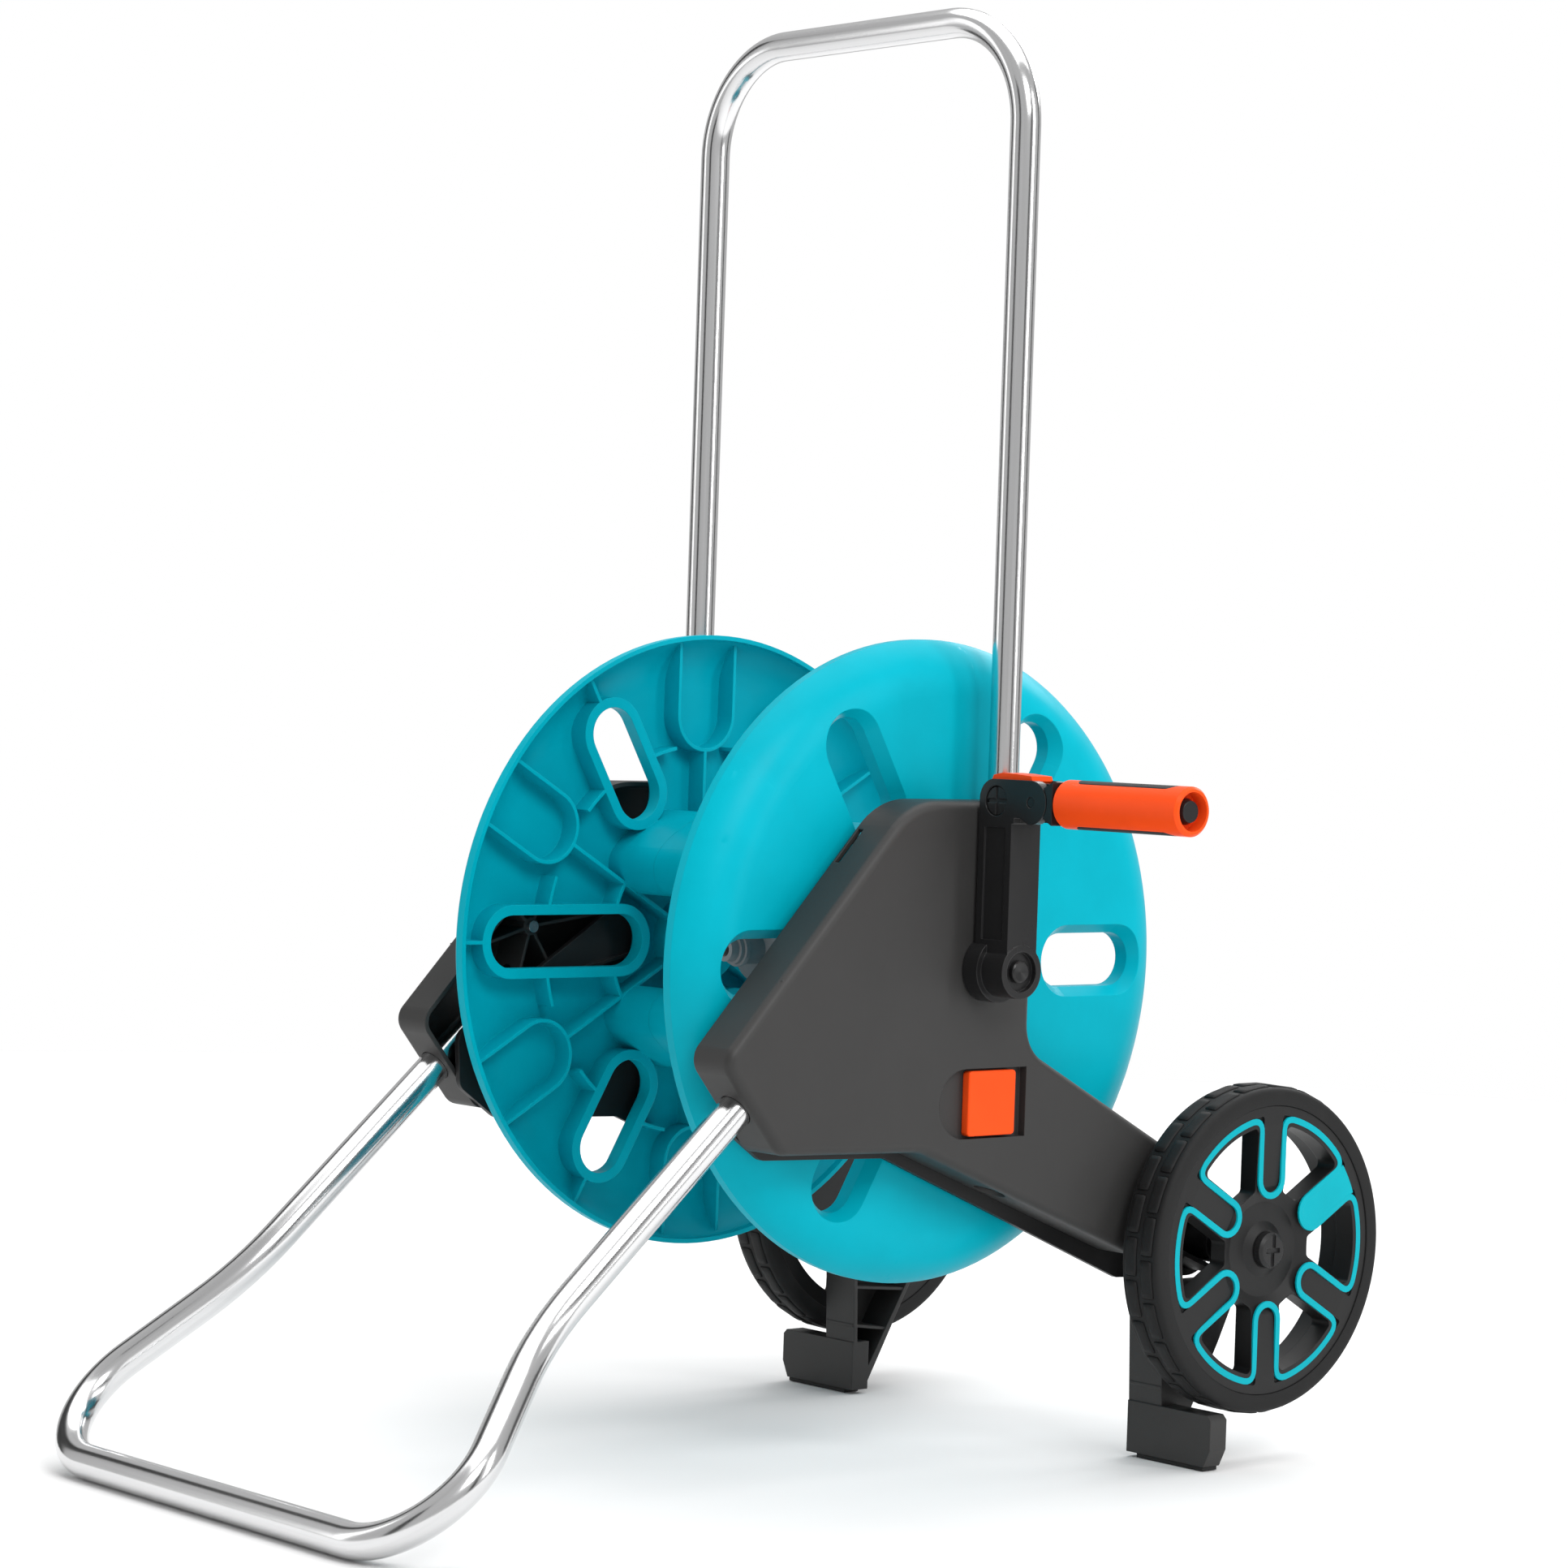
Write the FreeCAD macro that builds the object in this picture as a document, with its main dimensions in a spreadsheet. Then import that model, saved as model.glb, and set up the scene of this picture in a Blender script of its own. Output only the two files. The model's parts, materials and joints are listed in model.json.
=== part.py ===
"""Garden hose reel cart: two drum flanges on a hollow shaft, side covers, tube handle, tube stand, two wheels."""
import FreeCAD, Part
import math
import os

import Sketcher
from FreeCAD import Placement, Rotation, Vector

doc = FreeCAD.newDocument("hose_reel_cart")
sheet = doc.addObject("Spreadsheet::Sheet", "dims")

# Driving dimensions in millimetres, degrees and counts.  X runs along the drum axis towards the crank, Y runs
# from the stand bar towards the wheels, Z is up.  Y is measured from the drum axis and Z from the ground.
DIMENSIONS = {
    # drum
    "drum_axis_z": 303.5,
    "flange_radius": 190.0,
    "flange_rim_x": 100.4,
    "flange_dish": 18.6,
    "dish_width": 32.0,
    "flange_wall": 2.8,
    "rim_lip": 6.0,
    "rib_wall": 2.2,
    "rib_front_x": 102.0,
    "slot_half_width": 16.2,
    "slot_outer": 163.0,
    "slot_inner_long": 46.0,
    "slot_inner_short": 88.0,
    "collar_wall": 6.2,
    "funnel_depth": 7.5,
    "funnel_angle": 36.0,
    "loop_radius": 23.0,
    "loop_centre": 140.0,
    "arc_rib_radius": 121.0,
    "node_rib_radius": 70.0,
    "hub_radius": 26.0,
    "hub_length": 24.0,
    "post_circle": 65.0,
    "post_half_depth": 17.5,
    "post_half_arc": 15.0,
    "post_wall": 2.6,
    "post_seam_x": -72.0,
    "post_spigot": 12.0,
    "fixed_gap": 0.2,
    "running_gap": 0.05,
    # shaft, water parts
    "shaft_radius": 12.0,
    "shaft_bore": 9.0,
    "shaft_end_right": 168.0,
    "shaft_end_left": 150.0,
    "bush_wall": 3.0,
    "bush_flange": 4.0,
    "connector_x": -16.0,
    "connector_reach": 52.0,
    "inlet_reach": 198.5,
    # side covers
    "cover_inner_x": 126.5,
    "cover_outer_x": 157.5,
    "cover_wall": 2.8,
    "cover_top_z": 400.5,
    "cover_top_front_y": -60.0,
    "cover_nose_y": -196.0,
    "cover_nose_z": 255.0,
    "cover_chin_y": -152.0,
    "cover_chin_z": 201.0,
    "cover_belly_y": -44.0,
    "cover_belly_z": 198.0,
    "cover_heel_y": 143.0,
    "cover_heel_z": 124.0,
    "cover_tail_y": 160.0,
    "cover_tail_z": 192.0,
    "cover_neck_z": 255.6,
    "cover_back_y": 38.0,
    "cover_edge_round": 5.5,
    "cover_sharp_round": 11.5,
    "cover_soft_round": 24.0,
    "cover_top_round": 48.0,
    "boss_y": -113.0,
    "boss_z": 311.0,
    "boss_radius": 5.5,
    "screw_radius": 2.0,
    # inner frames
    "frame_wall": 4.0,
    "frame_gap": 0.3,
    "axle_arm_round": 24.0,
    # handle
    "handle_radius": 9.0,
    "tube_wall": 1.5,
    "leg_x": 141.0,
    "handle_y": 25.0,
    "handle_top_z": 860.8,
    "handle_bend": 65.0,
    "handle_tail_z": 232.0,
    "sleeve_wall": 2.5,
    # stand
    "stand_radius": 10.0,
    "stand_front_y": -417.8,
    "stand_slope": 41.5,
    "stand_half_bar": 207.3,
    "stand_splay_run": 149.0,
    "stand_run": 402.0,
    "stand_corner": 52.0,
    "stand_bend": 150.0,
    # wheels and axles
    "wheel_y": 210.7,
    "wheel_z": 131.1,
    "wheel_x": 180.3,
    "wheel_radius": 100.0,
    "wheel_half_width": 15.1,
    "tyre_depth": 12.0,
    "tread_depth": 2.6,
    "tread_pads": 24.0,
    "axle_radius": 6.0,
    "wheel_hub_radius": 17.0,
    "spoke_half_width": 12.5,
    "window_inner": 37.0,
    "window_outer": 76.0,
    "inlay_width": 3.0,
    "inlay_depth": 1.6,
    "inlay_path_radius": 80.5,
    "inlay_hub_radius": 33.0,
    "clip_radius": 11.0,
    # feet
    "foot_front_y": 161.0,
    "foot_back_y": 218.0,
    "foot_toe_x": 195.5,
    "foot_toe_height": 34.0,
    "foot_toe_depth": 14.0,
    "foot_wall": 2.6,
    "sole_thickness": 3.0,
    # slider buttons
    "button_y": -10.0,
    "button_length": 37.5,
    "button_z": 206.0,
    "button_height": 38.0,
    "window_front_y": -33.0,
    "window_back_y": 36.0,
    "window_round": 20.4,
    "button_travel": 6.0,
    "spring_wire": 0.8,
    # crank
    "arm_inner_x": 160.0,
    "arm_width": 27.0,
    "arm_half_depth": 11.6,
    "arm_length": 98.0,
    "hub_boss_radius": 19.0,
    "hub_end_radius": 15.6,
    "pin_radius": 3.0,
    "pivot_gap": 0.8,
    "grip_radius": 14.0,
    "grip_length": 99.0,
    "stub_radius": 12.6,
    "neck_reach": 17.5,
    "tongue_half": 5.6,
}
for row, (alias, number) in enumerate(DIMENSIONS.items(), start=1):
    sheet.set("A%d" % row, alias)
    sheet.set("B%d" % row, str(number))
    sheet.setAlias("B%d" % row, alias)
doc.recompute()

# Places that several pieces share, as expressions of the sheet's cells.
PLATE_X = "(dims.flange_rim_x + dims.flange_dish)"
PIVOT_X = "(dims.arm_inner_x + dims.arm_width + dims.grip_radius + dims.pivot_gap)"
GRIP_X = "(dims.neck_reach + dims.fixed_gap)"
RIGHT_REACH = "(%s + %s + dims.grip_length)" % (PIVOT_X, GRIP_X)
MID_X = "((%s - dims.inlet_reach) / 2)" % RIGHT_REACH
FRONT_Y = "(dims.stand_front_y - dims.stand_radius)"
BACK_Y = "(dims.wheel_y + dims.wheel_radius)"
MID_Y = "((%s + %s) / 2)" % (FRONT_Y, BACK_Y)
GROUND = ("-%s" % MID_X, "-%s" % MID_Y, "0")
DRUM = ("-%s" % MID_X, "-%s" % MID_Y, "dims.drum_axis_z")
WHEEL = ("dims.wheel_x - %s" % MID_X, "dims.wheel_y - %s" % MID_Y, "dims.wheel_z")
CRANK_HEAD = ("-%s" % MID_X, "-%s" % MID_Y, "dims.drum_axis_z + dims.arm_length")
GRIP = ("%s - %s" % (PIVOT_X, MID_X), "-%s" % MID_Y, "dims.drum_axis_z + dims.arm_length")

PLANE_ROLES = {"x": "YZ_Plane", "y": "XZ_Plane", "z": "XY_Plane"}
nodes = []


def value(expression):
    """Return the number that an expression of the sheet's cells gives."""
    result = sheet.evalExpression(expression)
    return float(getattr(result, "Value", result))


def station(piece, place):
    """Bind the place of a piece to three expressions."""
    for axis, expression in zip("xyz", place):
        piece.setExpression("Placement.Base.%s" % axis, expression)


def keep(piece, label):
    """Give a piece its name and add it to the pieces that are written."""
    piece.Label = label
    nodes.append(piece)
    return piece


def new_body(name, place):
    """Make a body at a place bound to the sheet."""
    body = doc.addObject("PartDesign::Body", name)
    station(body, place)
    return body


def new_sketch(body, name, normal, start="0"):
    """Make a sketch on the body's own origin plane across an axis, moved along that axis by an expression."""
    plane = next(item for item in body.Origin.OriginFeatures if item.Role == PLANE_ROLES[normal])
    sketch = body.newObject("Sketcher::SketchObject", name)
    sketch.AttachmentSupport = [(plane, "")]
    sketch.MapMode = "FlatFace"
    sign = "-" if normal == "y" else ""
    sketch.setExpression("AttachmentOffset.Base.z", "%s(%s)" % (sign, start))
    return sketch


def bind_point(sketch, geometry, position, point):
    """Tie one point of a sketch to two expressions."""
    for kind, expression in zip(("DistanceX", "DistanceY"), point):
        index = sketch.addConstraint(Sketcher.Constraint(kind, -1, 1, geometry, position, value(expression)))
        sketch.setExpression("Constraints[%d]" % index, expression)


def draw(sketch, points, arcs=None, closed=True):
    """Draw an outline through points.  arcs maps a segment's number to its centre and its turn, +1 or -1."""
    arcs = arcs or {}
    spots = [Vector(value(h), value(v), 0) for h, v in points]
    total = len(points) if closed else len(points) - 1
    ends = []
    for number in range(total):
        here = spots[number]
        there = spots[(number + 1) % len(spots)]
        if number not in arcs:
            ends.append((sketch.addGeometry(Part.LineSegment(here, there)), 1, 2))
            continue
        centre_h, centre_v, turn = arcs[number]
        centre = Vector(value(centre_h), value(centre_v), 0)
        first, last = (here, there) if turn > 0 else (there, here)
        angle_first = math.atan2(first.y - centre.y, first.x - centre.x)
        angle_last = math.atan2(last.y - centre.y, last.x - centre.x)
        if angle_last <= angle_first:
            angle_last += 2 * math.pi
        circle = Part.Circle(centre, Vector(0, 0, 1), centre.distanceToPoint(first))
        geometry = sketch.addGeometry(Part.ArcOfCircle(circle, angle_first, angle_last))
        ends.append((geometry, 1, 2) if turn > 0 else (geometry, 2, 1))
        chord = there - here
        along = ("DistanceX", centre_h) if abs(chord.y) > abs(chord.x) else ("DistanceY", centre_v)
        index = sketch.addConstraint(Sketcher.Constraint(along[0], -1, 1, geometry, 3, value(along[1])))
        sketch.setExpression("Constraints[%d]" % index, along[1])
    for number, (geometry, start, finish) in enumerate(ends):
        bind_point(sketch, geometry, start, points[number])
        if closed or number + 1 < total:
            after = ends[(number + 1) % total]
            sketch.addConstraint(Sketcher.Constraint("Coincident", geometry, finish, after[0], after[1]))
    if not closed:
        bind_point(sketch, ends[-1][0], ends[-1][2], points[-1])


def draw_circle(sketch, centre, radius):
    """Draw a circle with its centre and radius bound to expressions."""
    spot = Vector(value(centre[0]), value(centre[1]), 0)
    geometry = sketch.addGeometry(Part.Circle(spot, Vector(0, 0, 1), value(radius)))
    bind_point(sketch, geometry, 3, centre)
    index = sketch.addConstraint(Sketcher.Constraint("Radius", geometry, value(radius)))
    sketch.setExpression("Constraints[%d]" % index, radius)


def extrude(body, name, normal, start, length, outline=(), arcs=None, circles=(), cut=False):
    """Pad or cut an outline and circles from a start along an axis, both bound to the sheet."""
    sketch = new_sketch(body, name + "_sketch", normal, start)
    if outline:
        draw(sketch, outline, arcs)
    for centre, radius in circles:
        draw_circle(sketch, centre, radius)
    feature = body.newObject("PartDesign::Pocket" if cut else "PartDesign::Pad", name)
    feature.Profile = sketch
    feature.setExpression("Length", length)
    feature.Reversed = (normal == "y") != cut
    return feature


def turn(body, name, outline, arcs=None, cut=False, angle=360.0):
    """Turn an outline of lengths along X and radii about the body's X axis, added or cut."""
    sketch = new_sketch(body, name + "_sketch", "z")
    draw(sketch, outline, arcs)
    feature = body.newObject("PartDesign::Groove" if cut else "PartDesign::Revolution", name)
    feature.Profile = sketch
    feature.ReferenceAxis = (sketch, ["H_Axis"])
    feature.Angle = angle
    return feature


def repeat(body, name, features, count):
    """Repeat features evenly round the body's X axis."""
    axis = next(item for item in body.Origin.OriginFeatures if item.Role == "X_Axis")
    pattern = body.newObject("PartDesign::PolarPattern", name)
    pattern.Originals = features
    pattern.Axis = (axis, [""])
    pattern.Angle = 360.0
    pattern.setExpression("Occurrences", count)
    body.Tip = pattern
    return pattern


def round_edges(body, name, test, radius):
    """Fillet the edges of the body's tip that pass a test."""
    doc.recompute()
    base = body.Tip
    names = ["Edge%d" % (i + 1) for i, edge in enumerate(base.Shape.Edges) if test(edge)]
    feature = body.newObject("PartDesign::Fillet", name)
    feature.Base = (base, names)
    feature.setExpression("Radius", radius)
    return feature


def along_x_at(edge, corners, reach=0.6):
    """Tell whether an edge runs along X through one of the corners given as Y and Z."""
    first, last = edge.Vertexes[0].Point, edge.Vertexes[-1].Point
    if abs(first.y - last.y) > 0.01 or abs(first.z - last.z) > 0.01 or abs(first.x - last.x) < 0.5:
        return False
    return any(math.hypot(first.y - y, first.z - z) < reach for y, z in corners)


def mirrored(source, label):
    """Mirror a piece in the cart's middle plane."""
    piece = doc.addObject("Part::Mirroring", label)
    piece.Source = source
    piece.Normal = Vector(1, 0, 0)
    piece.setExpression("Base.x", "-%s" % MID_X)
    return keep(piece, label)


def turned_piece(label, place, outline, arcs=None):
    """Make a whole piece by turning one outline about X."""
    body = new_body(label, place)
    turn(body, label + "_turn", outline, arcs)
    return keep(body, label)


def bar(angle_expression, from_radius, to_radius, half_width):
    """Outline of a straight rib that runs radially at an angle, as expressions in Y and Z."""
    c = "cos(%s)" % angle_expression
    s = "sin(%s)" % angle_expression
    corner = lambda radius, side: ("(%s) * %s - (%s) * %s" % (radius, c, side, s),
                                   "(%s) * %s + (%s) * %s" % (radius, s, side, c))
    low, high = "-(%s)" % half_width, half_width
    return [corner(from_radius, low), corner(to_radius, low), corner(to_radius, high), corner(from_radius, high)]


def stadium(inner, outer, half_width):
    """Outline of a slot that runs along the first sketch axis, with its two round ends."""
    first = "(%s) + (%s)" % (inner, half_width)
    last = "(%s) - (%s)" % (outer, half_width)
    low = "-(%s)" % half_width
    points = [(first, low), (last, low), (last, half_width), (first, half_width)]
    arcs = {1: (last, "0", 1), 3: (first, "0", 1)}
    return points, arcs


def flange_body(name):
    """Build the right-hand flange disc: dished plate, ribs, slot collars and hub, without the core posts."""
    body = new_body(name, DRUM)
    rim_in = "(dims.flange_rim_x - dims.rim_lip)"
    wall = "dims.flange_wall"
    inner_x = "(%s - %s)" % (PLATE_X, wall)
    radius = "dims.flange_radius"
    plate_edge = "(dims.flange_radius - dims.dish_width)"
    bow = "((dims.flange_dish ^ 2 + dims.dish_width ^ 2) / (2 * dims.flange_dish))"
    bow_centre = ("(%s - %s)" % (PLATE_X, bow), plate_edge)
    inner_end = "(%s + sqrt((%s - %s) ^ 2 - (dims.dish_width - %s) ^ 2))" % (bow_centre[0], bow, wall, wall)
    bore = "dims.shaft_radius + dims.fixed_gap"
    hub_x = "(%s - dims.hub_length)" % PLATE_X
    turn(body, name + "_plate", [
        (PLATE_X, bore), (PLATE_X, plate_edge), ("dims.flange_rim_x", radius), (rim_in, radius),
        (rim_in, radius + " - " + wall), (inner_end, radius + " - " + wall), (inner_x, plate_edge),
        (inner_x, "dims.hub_radius"), (hub_x, "dims.hub_radius"), (hub_x, bore)],
        {1: bow_centre + (1,), 5: bow_centre + (-1,)})
    rib_start, rib_run = "dims.rib_front_x", "%s - dims.rib_front_x - 0.5" % PLATE_X
    rib_half = "dims.rib_wall / 2"
    reach = radius + " - dims.flange_wall / 2"
    loop, centre = "dims.loop_radius", "dims.loop_centre"
    inner_loop = "(dims.loop_radius - dims.rib_wall)"
    loop_points = [("-" + loop, reach + " - 2"), ("-" + loop, centre), (loop, centre), (loop, reach + " - 2"),
                   (inner_loop, reach + " - 2"), (inner_loop, centre), ("-" + inner_loop, centre),
                   ("-" + inner_loop, reach + " - 2")]
    u_loop = extrude(body, name + "_loop", "x", rib_start, rib_run, loop_points,
                     {1: ("0", centre, 1), 5: ("0", centre, -1)})
    spine = extrude(body, name + "_spine", "x", rib_start, rib_run,
                    bar("90", "dims.hub_radius - 1", "%s - %s + 0.5" % (centre, loop), rib_half))
    tip_rib = extrude(body, name + "_tip_rib", "x", rib_start, rib_run,
                      bar("0", "dims.slot_outer + dims.collar_wall / 2", reach, rib_half))
    ring_spread = "(dims.slot_half_width + dims.collar_wall / 2)"
    angle_slot = "asin(%s / %%s)" % ring_spread
    arcs_of_ribs = []
    for tag, ring, far_angle in (("outer_arc", "dims.arc_rib_radius", "(90 deg - asin(%s / dims.arc_rib_radius))" % loop),
                                 ("inner_arc", "dims.node_rib_radius", "90 deg")):
        near_angle = "(60 deg + %s)" % (angle_slot % ring)
        for side, mirror in (("a", "%s"), ("b", "(180 deg - %s)")):
            low_angle, high_angle = mirror % near_angle, mirror % far_angle
            inside, outside = "(%s - %s)" % (ring, rib_half), "(%s + %s)" % (ring, rib_half)
            spot = lambda size, angle: ("%s * cos(%s)" % (size, angle), "%s * sin(%s)" % (size, angle))
            way = 1 if side == "a" else -1
            arcs_of_ribs.append(extrude(body, "%s_%s_%s" % (name, tag, side), "x", rib_start, rib_run,
                                        [spot(inside, low_angle), spot(outside, low_angle),
                                         spot(outside, high_angle), spot(inside, high_angle)],
                                        {1: ("0", "0", way), 3: ("0", "0", -way)}))
    repeat(body, name + "_rib_pattern", [u_loop, spine, tip_rib] + arcs_of_ribs, "6")
    collar_half = "(dims.slot_half_width + dims.collar_wall)"
    for tag, inner, turn_angle in (("long", "dims.slot_inner_long", 180.0), ("short", "dims.slot_inner_short", 0.0)):
        points, arcs = stadium(inner + " - dims.collar_wall", "dims.slot_outer + dims.collar_wall", collar_half)
        collar = extrude(body, "%s_%s_collar" % (name, tag), "x", rib_start, rib_run, points, arcs)
        sketch = collar.Profile[0]
        sketch.AttachmentOffset = Placement(Vector(0, 0, 0), Rotation(Vector(0, 0, 1), turn_angle))
        repeat(body, "%s_%s_collars" % (name, tag), [collar], "3")
    turn(body, name + "_trim", [
        ("dims.flange_rim_x", radius), (PLATE_X, plate_edge), (PLATE_X, bore), (PLATE_X + " + 9", bore),
        (PLATE_X + " + 9", radius + " + 9"), ("dims.flange_rim_x", radius + " + 9")], {0: bow_centre + (-1,)}, cut=True)
    for tag, inner, turn_angle in (("long", "dims.slot_inner_long", 180.0), ("short", "dims.slot_inner_short", 0.0)):
        points, arcs = stadium(inner, "dims.slot_outer", "dims.slot_half_width")
        slot = extrude(body, "%s_%s_slot" % (name, tag), "x", "dims.rib_front_x - 2", "60", points, arcs, cut=True)
        funnel = extrude(body, "%s_%s_funnel" % (name, tag), "x", PLATE_X + " - dims.funnel_depth",
                         "dims.funnel_depth + 3", points, arcs, cut=True)
        funnel.setExpression("TaperAngle", "dims.funnel_angle")
        for cut_feature in (slot, funnel):
            cut_feature.Profile[0].AttachmentOffset = Placement(Vector(0, 0, 0), Rotation(Vector(0, 0, 1), turn_angle))
        repeat(body, "%s_%s_slots" % (name, tag), [slot, funnel], "3")
    return body


def post_outline(inset):
    """Outline of one core post, an arc-shaped stadium about the drum axis, drawn at angle 0 and made smaller."""
    half = "(dims.post_half_depth - (%s))" % inset
    inner, outer = "(dims.post_circle - %s)" % half, "(dims.post_circle + %s)" % half
    spot = lambda size, sign: ("%s * cos(dims.post_half_arc)" % size, "%s%s * sin(dims.post_half_arc)" % (sign, size))
    points = [spot(outer, "-"), spot(outer, ""), spot(inner, ""), spot(inner, "-")]
    end = "dims.post_circle"
    arcs = {0: ("0", "0", 1), 1: spot(end, "") + (1,), 2: ("0", "0", -1), 3: spot(end, "-") + (1,)}
    return points, arcs


def add_posts(body, name, start, length, inset, hollow_inset, hollow_start):
    """Add three hollow posts round the drum axis."""
    points, arcs = post_outline(inset)
    solid = extrude(body, name + "_post", "x", start, length, points, arcs)
    repeat(body, name + "_posts", [solid], "3")
    points, arcs = post_outline(hollow_inset)
    hollow = extrude(body, name + "_hollow", "x", hollow_start[0], hollow_start[1], points, arcs, cut=True)
    repeat(body, name + "_hollows", [hollow], "3")


# Drum: right flange with its three core posts, left flange with the sockets that the posts plug into.
inner_plate = "(%s - dims.flange_wall)" % PLATE_X
right_flange = flange_body("drum_flange_right")
add_posts(right_flange, "core", "dims.post_seam_x + dims.fixed_gap",
          "%s - dims.post_seam_x - dims.fixed_gap + 0.5" % inner_plate, "0", "dims.post_wall",
          ("dims.post_seam_x + 4", "%s - dims.post_seam_x - 4" % inner_plate))
points, arcs = post_outline("dims.post_wall + dims.fixed_gap")
spigot = extrude(right_flange, "spigot", "x", "dims.post_seam_x - dims.post_spigot", "dims.post_spigot + 3",
                 points, arcs)
repeat(right_flange, "spigots", [spigot], "3")
points, arcs = post_outline("2 * dims.post_wall")
spigot_hollow = extrude(right_flange, "spigot_hollow", "x", "dims.post_seam_x - dims.post_spigot - 1",
                        "dims.post_spigot + 3", points, arcs, cut=True)
repeat(right_flange, "spigot_hollows", [spigot_hollow], "3")
keep(right_flange, "drum_flange_right")

left_source = flange_body("left_flange_source")
add_posts(left_source, "socket", "-dims.post_seam_x", "%s + dims.post_seam_x + 0.5" % inner_plate, "0",
          "dims.post_wall", ("-dims.post_seam_x - 1", "dims.post_spigot + 4"))
mirrored(left_source, "drum_flange_left")

# Hollow shaft with a shoulder and a keyed end for the crank.
turned_piece("drum_shaft", DRUM, [
    ("-dims.shaft_end_left", "dims.shaft_bore"), ("dims.shaft_end_right", "dims.shaft_bore"),
    ("dims.shaft_end_right", "dims.shaft_radius"), ("-dims.shaft_end_left", "dims.shaft_radius")])

# Bearing bushes of the shaft in the inner frames.
frame_face = "(%s + 3)" % PLATE_X
bush_out = "(dims.shaft_radius + dims.running_gap + dims.bush_wall)"
bush_in, bush_bore = frame_face + " + 0.4", "dims.shaft_radius + dims.running_gap"
bush_end = "dims.leg_x - dims.handle_radius - 1"
bush_flange_out = bush_out + " + dims.bush_flange"
frame_back = frame_face + " + dims.frame_wall"
right_bush = turned_piece("right_bush", DRUM, [
    (bush_in, bush_bore), (bush_end, bush_bore), (bush_end, bush_out), (frame_back, bush_out),
    (frame_back, bush_flange_out), (frame_back + " - 1.5", bush_flange_out), (frame_back + " - 1.5", bush_out),
    (bush_in, bush_out)])
mirrored(right_bush, "left_bush")

# Grey water connector that carries the hose's inner end: a clamp ring round the shaft and a ringed nozzle.
connector = new_body("hose_connector", DRUM)
turn(connector, "connector_ring", [
    ("dims.connector_x - 12", "dims.shaft_radius + dims.fixed_gap"),
    ("dims.connector_x + 12", "dims.shaft_radius + dims.fixed_gap"),
    ("dims.connector_x + 12", "dims.shaft_radius + 4"), ("dims.connector_x - 12", "dims.shaft_radius + 4")])
nozzle_at = ("dims.connector_x", "0")
nozzle_steps = (("neck", None, 46, 9.0), ("collar", 24, 27, 20.0), ("grip_ring", 40, 43, 10.5), ("lip", 46, 52, 7.2))
for name, reach_from, reach_to, size in nozzle_steps:
    step_far = "%d * dims.connector_reach / 52" % reach_to
    step_near = "%s * dims.connector_reach / 52" % reach_from if reach_from else "(dims.shaft_radius + 1)"
    extrude(connector, "connector_" + name, "y", "-" + step_far, "%s - %s" % (step_far, step_near),
            circles=[(nozzle_at, str(size))])
extrude(connector, "connector_bore", "y", "-dims.connector_reach - 1", "dims.connector_reach - 11",
        circles=[(nozzle_at, "4.2")], cut=True)
keep(connector, "hose_connector")

# Water inlet on the left cover: a fixed spigot inside the shaft's bore, an elbow body and a tap-side nipple.
inlet = new_body("inlet_connector", DRUM)
turn(inlet, "inlet_body", [
    ("-dims.inlet_reach", "0"), ("-dims.shaft_end_left + 30", "0"), ("-dims.shaft_end_left + 30", "dims.shaft_bore - 0.6"),
    ("-dims.shaft_end_left - 4", "dims.shaft_bore - 0.6"), ("-dims.shaft_end_left - 4", "15"),
    ("-dims.cover_outer_x - 1", "15"), ("-dims.cover_outer_x - 1", "19"), ("-dims.cover_outer_x - 5", "19"),
    ("-dims.cover_outer_x - 5", "17"), ("-dims.inlet_reach + 3", "17"), ("-dims.inlet_reach", "14")])
nipple_x = "(dims.cover_outer_x + dims.inlet_reach + 4) / -2"
for name, reach_from, reach_to, size in (("neck", 10, 40, 10.5), ("collar", 24, 28, 14.0), ("nipple", 39, 54, 8.0),
                                         ("lip", 48, 50, 9.2)):
    extrude(inlet, "inlet_" + name, "z", "-%d" % reach_to, "%d" % (reach_to - reach_from),
            circles=[((nipple_x, "0"), str(size))])
extrude(inlet, "inlet_drop", "z", "-55", "55", circles=[((nipple_x, "0"), "5")], cut=True)
turn(inlet, "inlet_bore", [(nipple_x, "0"), ("-dims.shaft_end_left + 31", "0"), ("-dims.shaft_end_left + 31", "5.5"),
                           (nipple_x, "5.5")], cut=True)
for number, spot in enumerate(("-dims.shaft_end_left + 10", "-dims.shaft_end_left + 18")):
    turn(inlet, "seal_groove_%d" % number, [
        (spot + " - 1.4", "dims.shaft_bore - 2"), (spot + " + 1.4", "dims.shaft_bore - 2"),
        (spot + " + 1.4", "dims.shaft_bore + 1"), (spot + " - 1.4", "dims.shaft_bore + 1")], cut=True)
keep(inlet, "inlet_connector")

# Two rubber rings that seal the inlet spigot in the turning shaft.
seals = []
for number, spot in enumerate(("-dims.shaft_end_left + 10", "-dims.shaft_end_left + 18")):
    ring = doc.addObject("Part::Torus", "seal_ring_%d" % number)
    ring.setExpression("Radius1", "dims.shaft_bore - 1.05")
    ring.setExpression("Radius2", "0.9")
    ring.Placement = Placement(Vector(0, 0, 0), Rotation(Vector(0, 1, 0), 90))
    ring.setExpression("Placement.Base.x", spot)
    seals.append(ring)
seal_pair = doc.addObject("Part::Compound", "inlet_seals")
seal_pair.Links = seals
station(seal_pair, DRUM)
keep(seal_pair, "inlet_seals")

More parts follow.
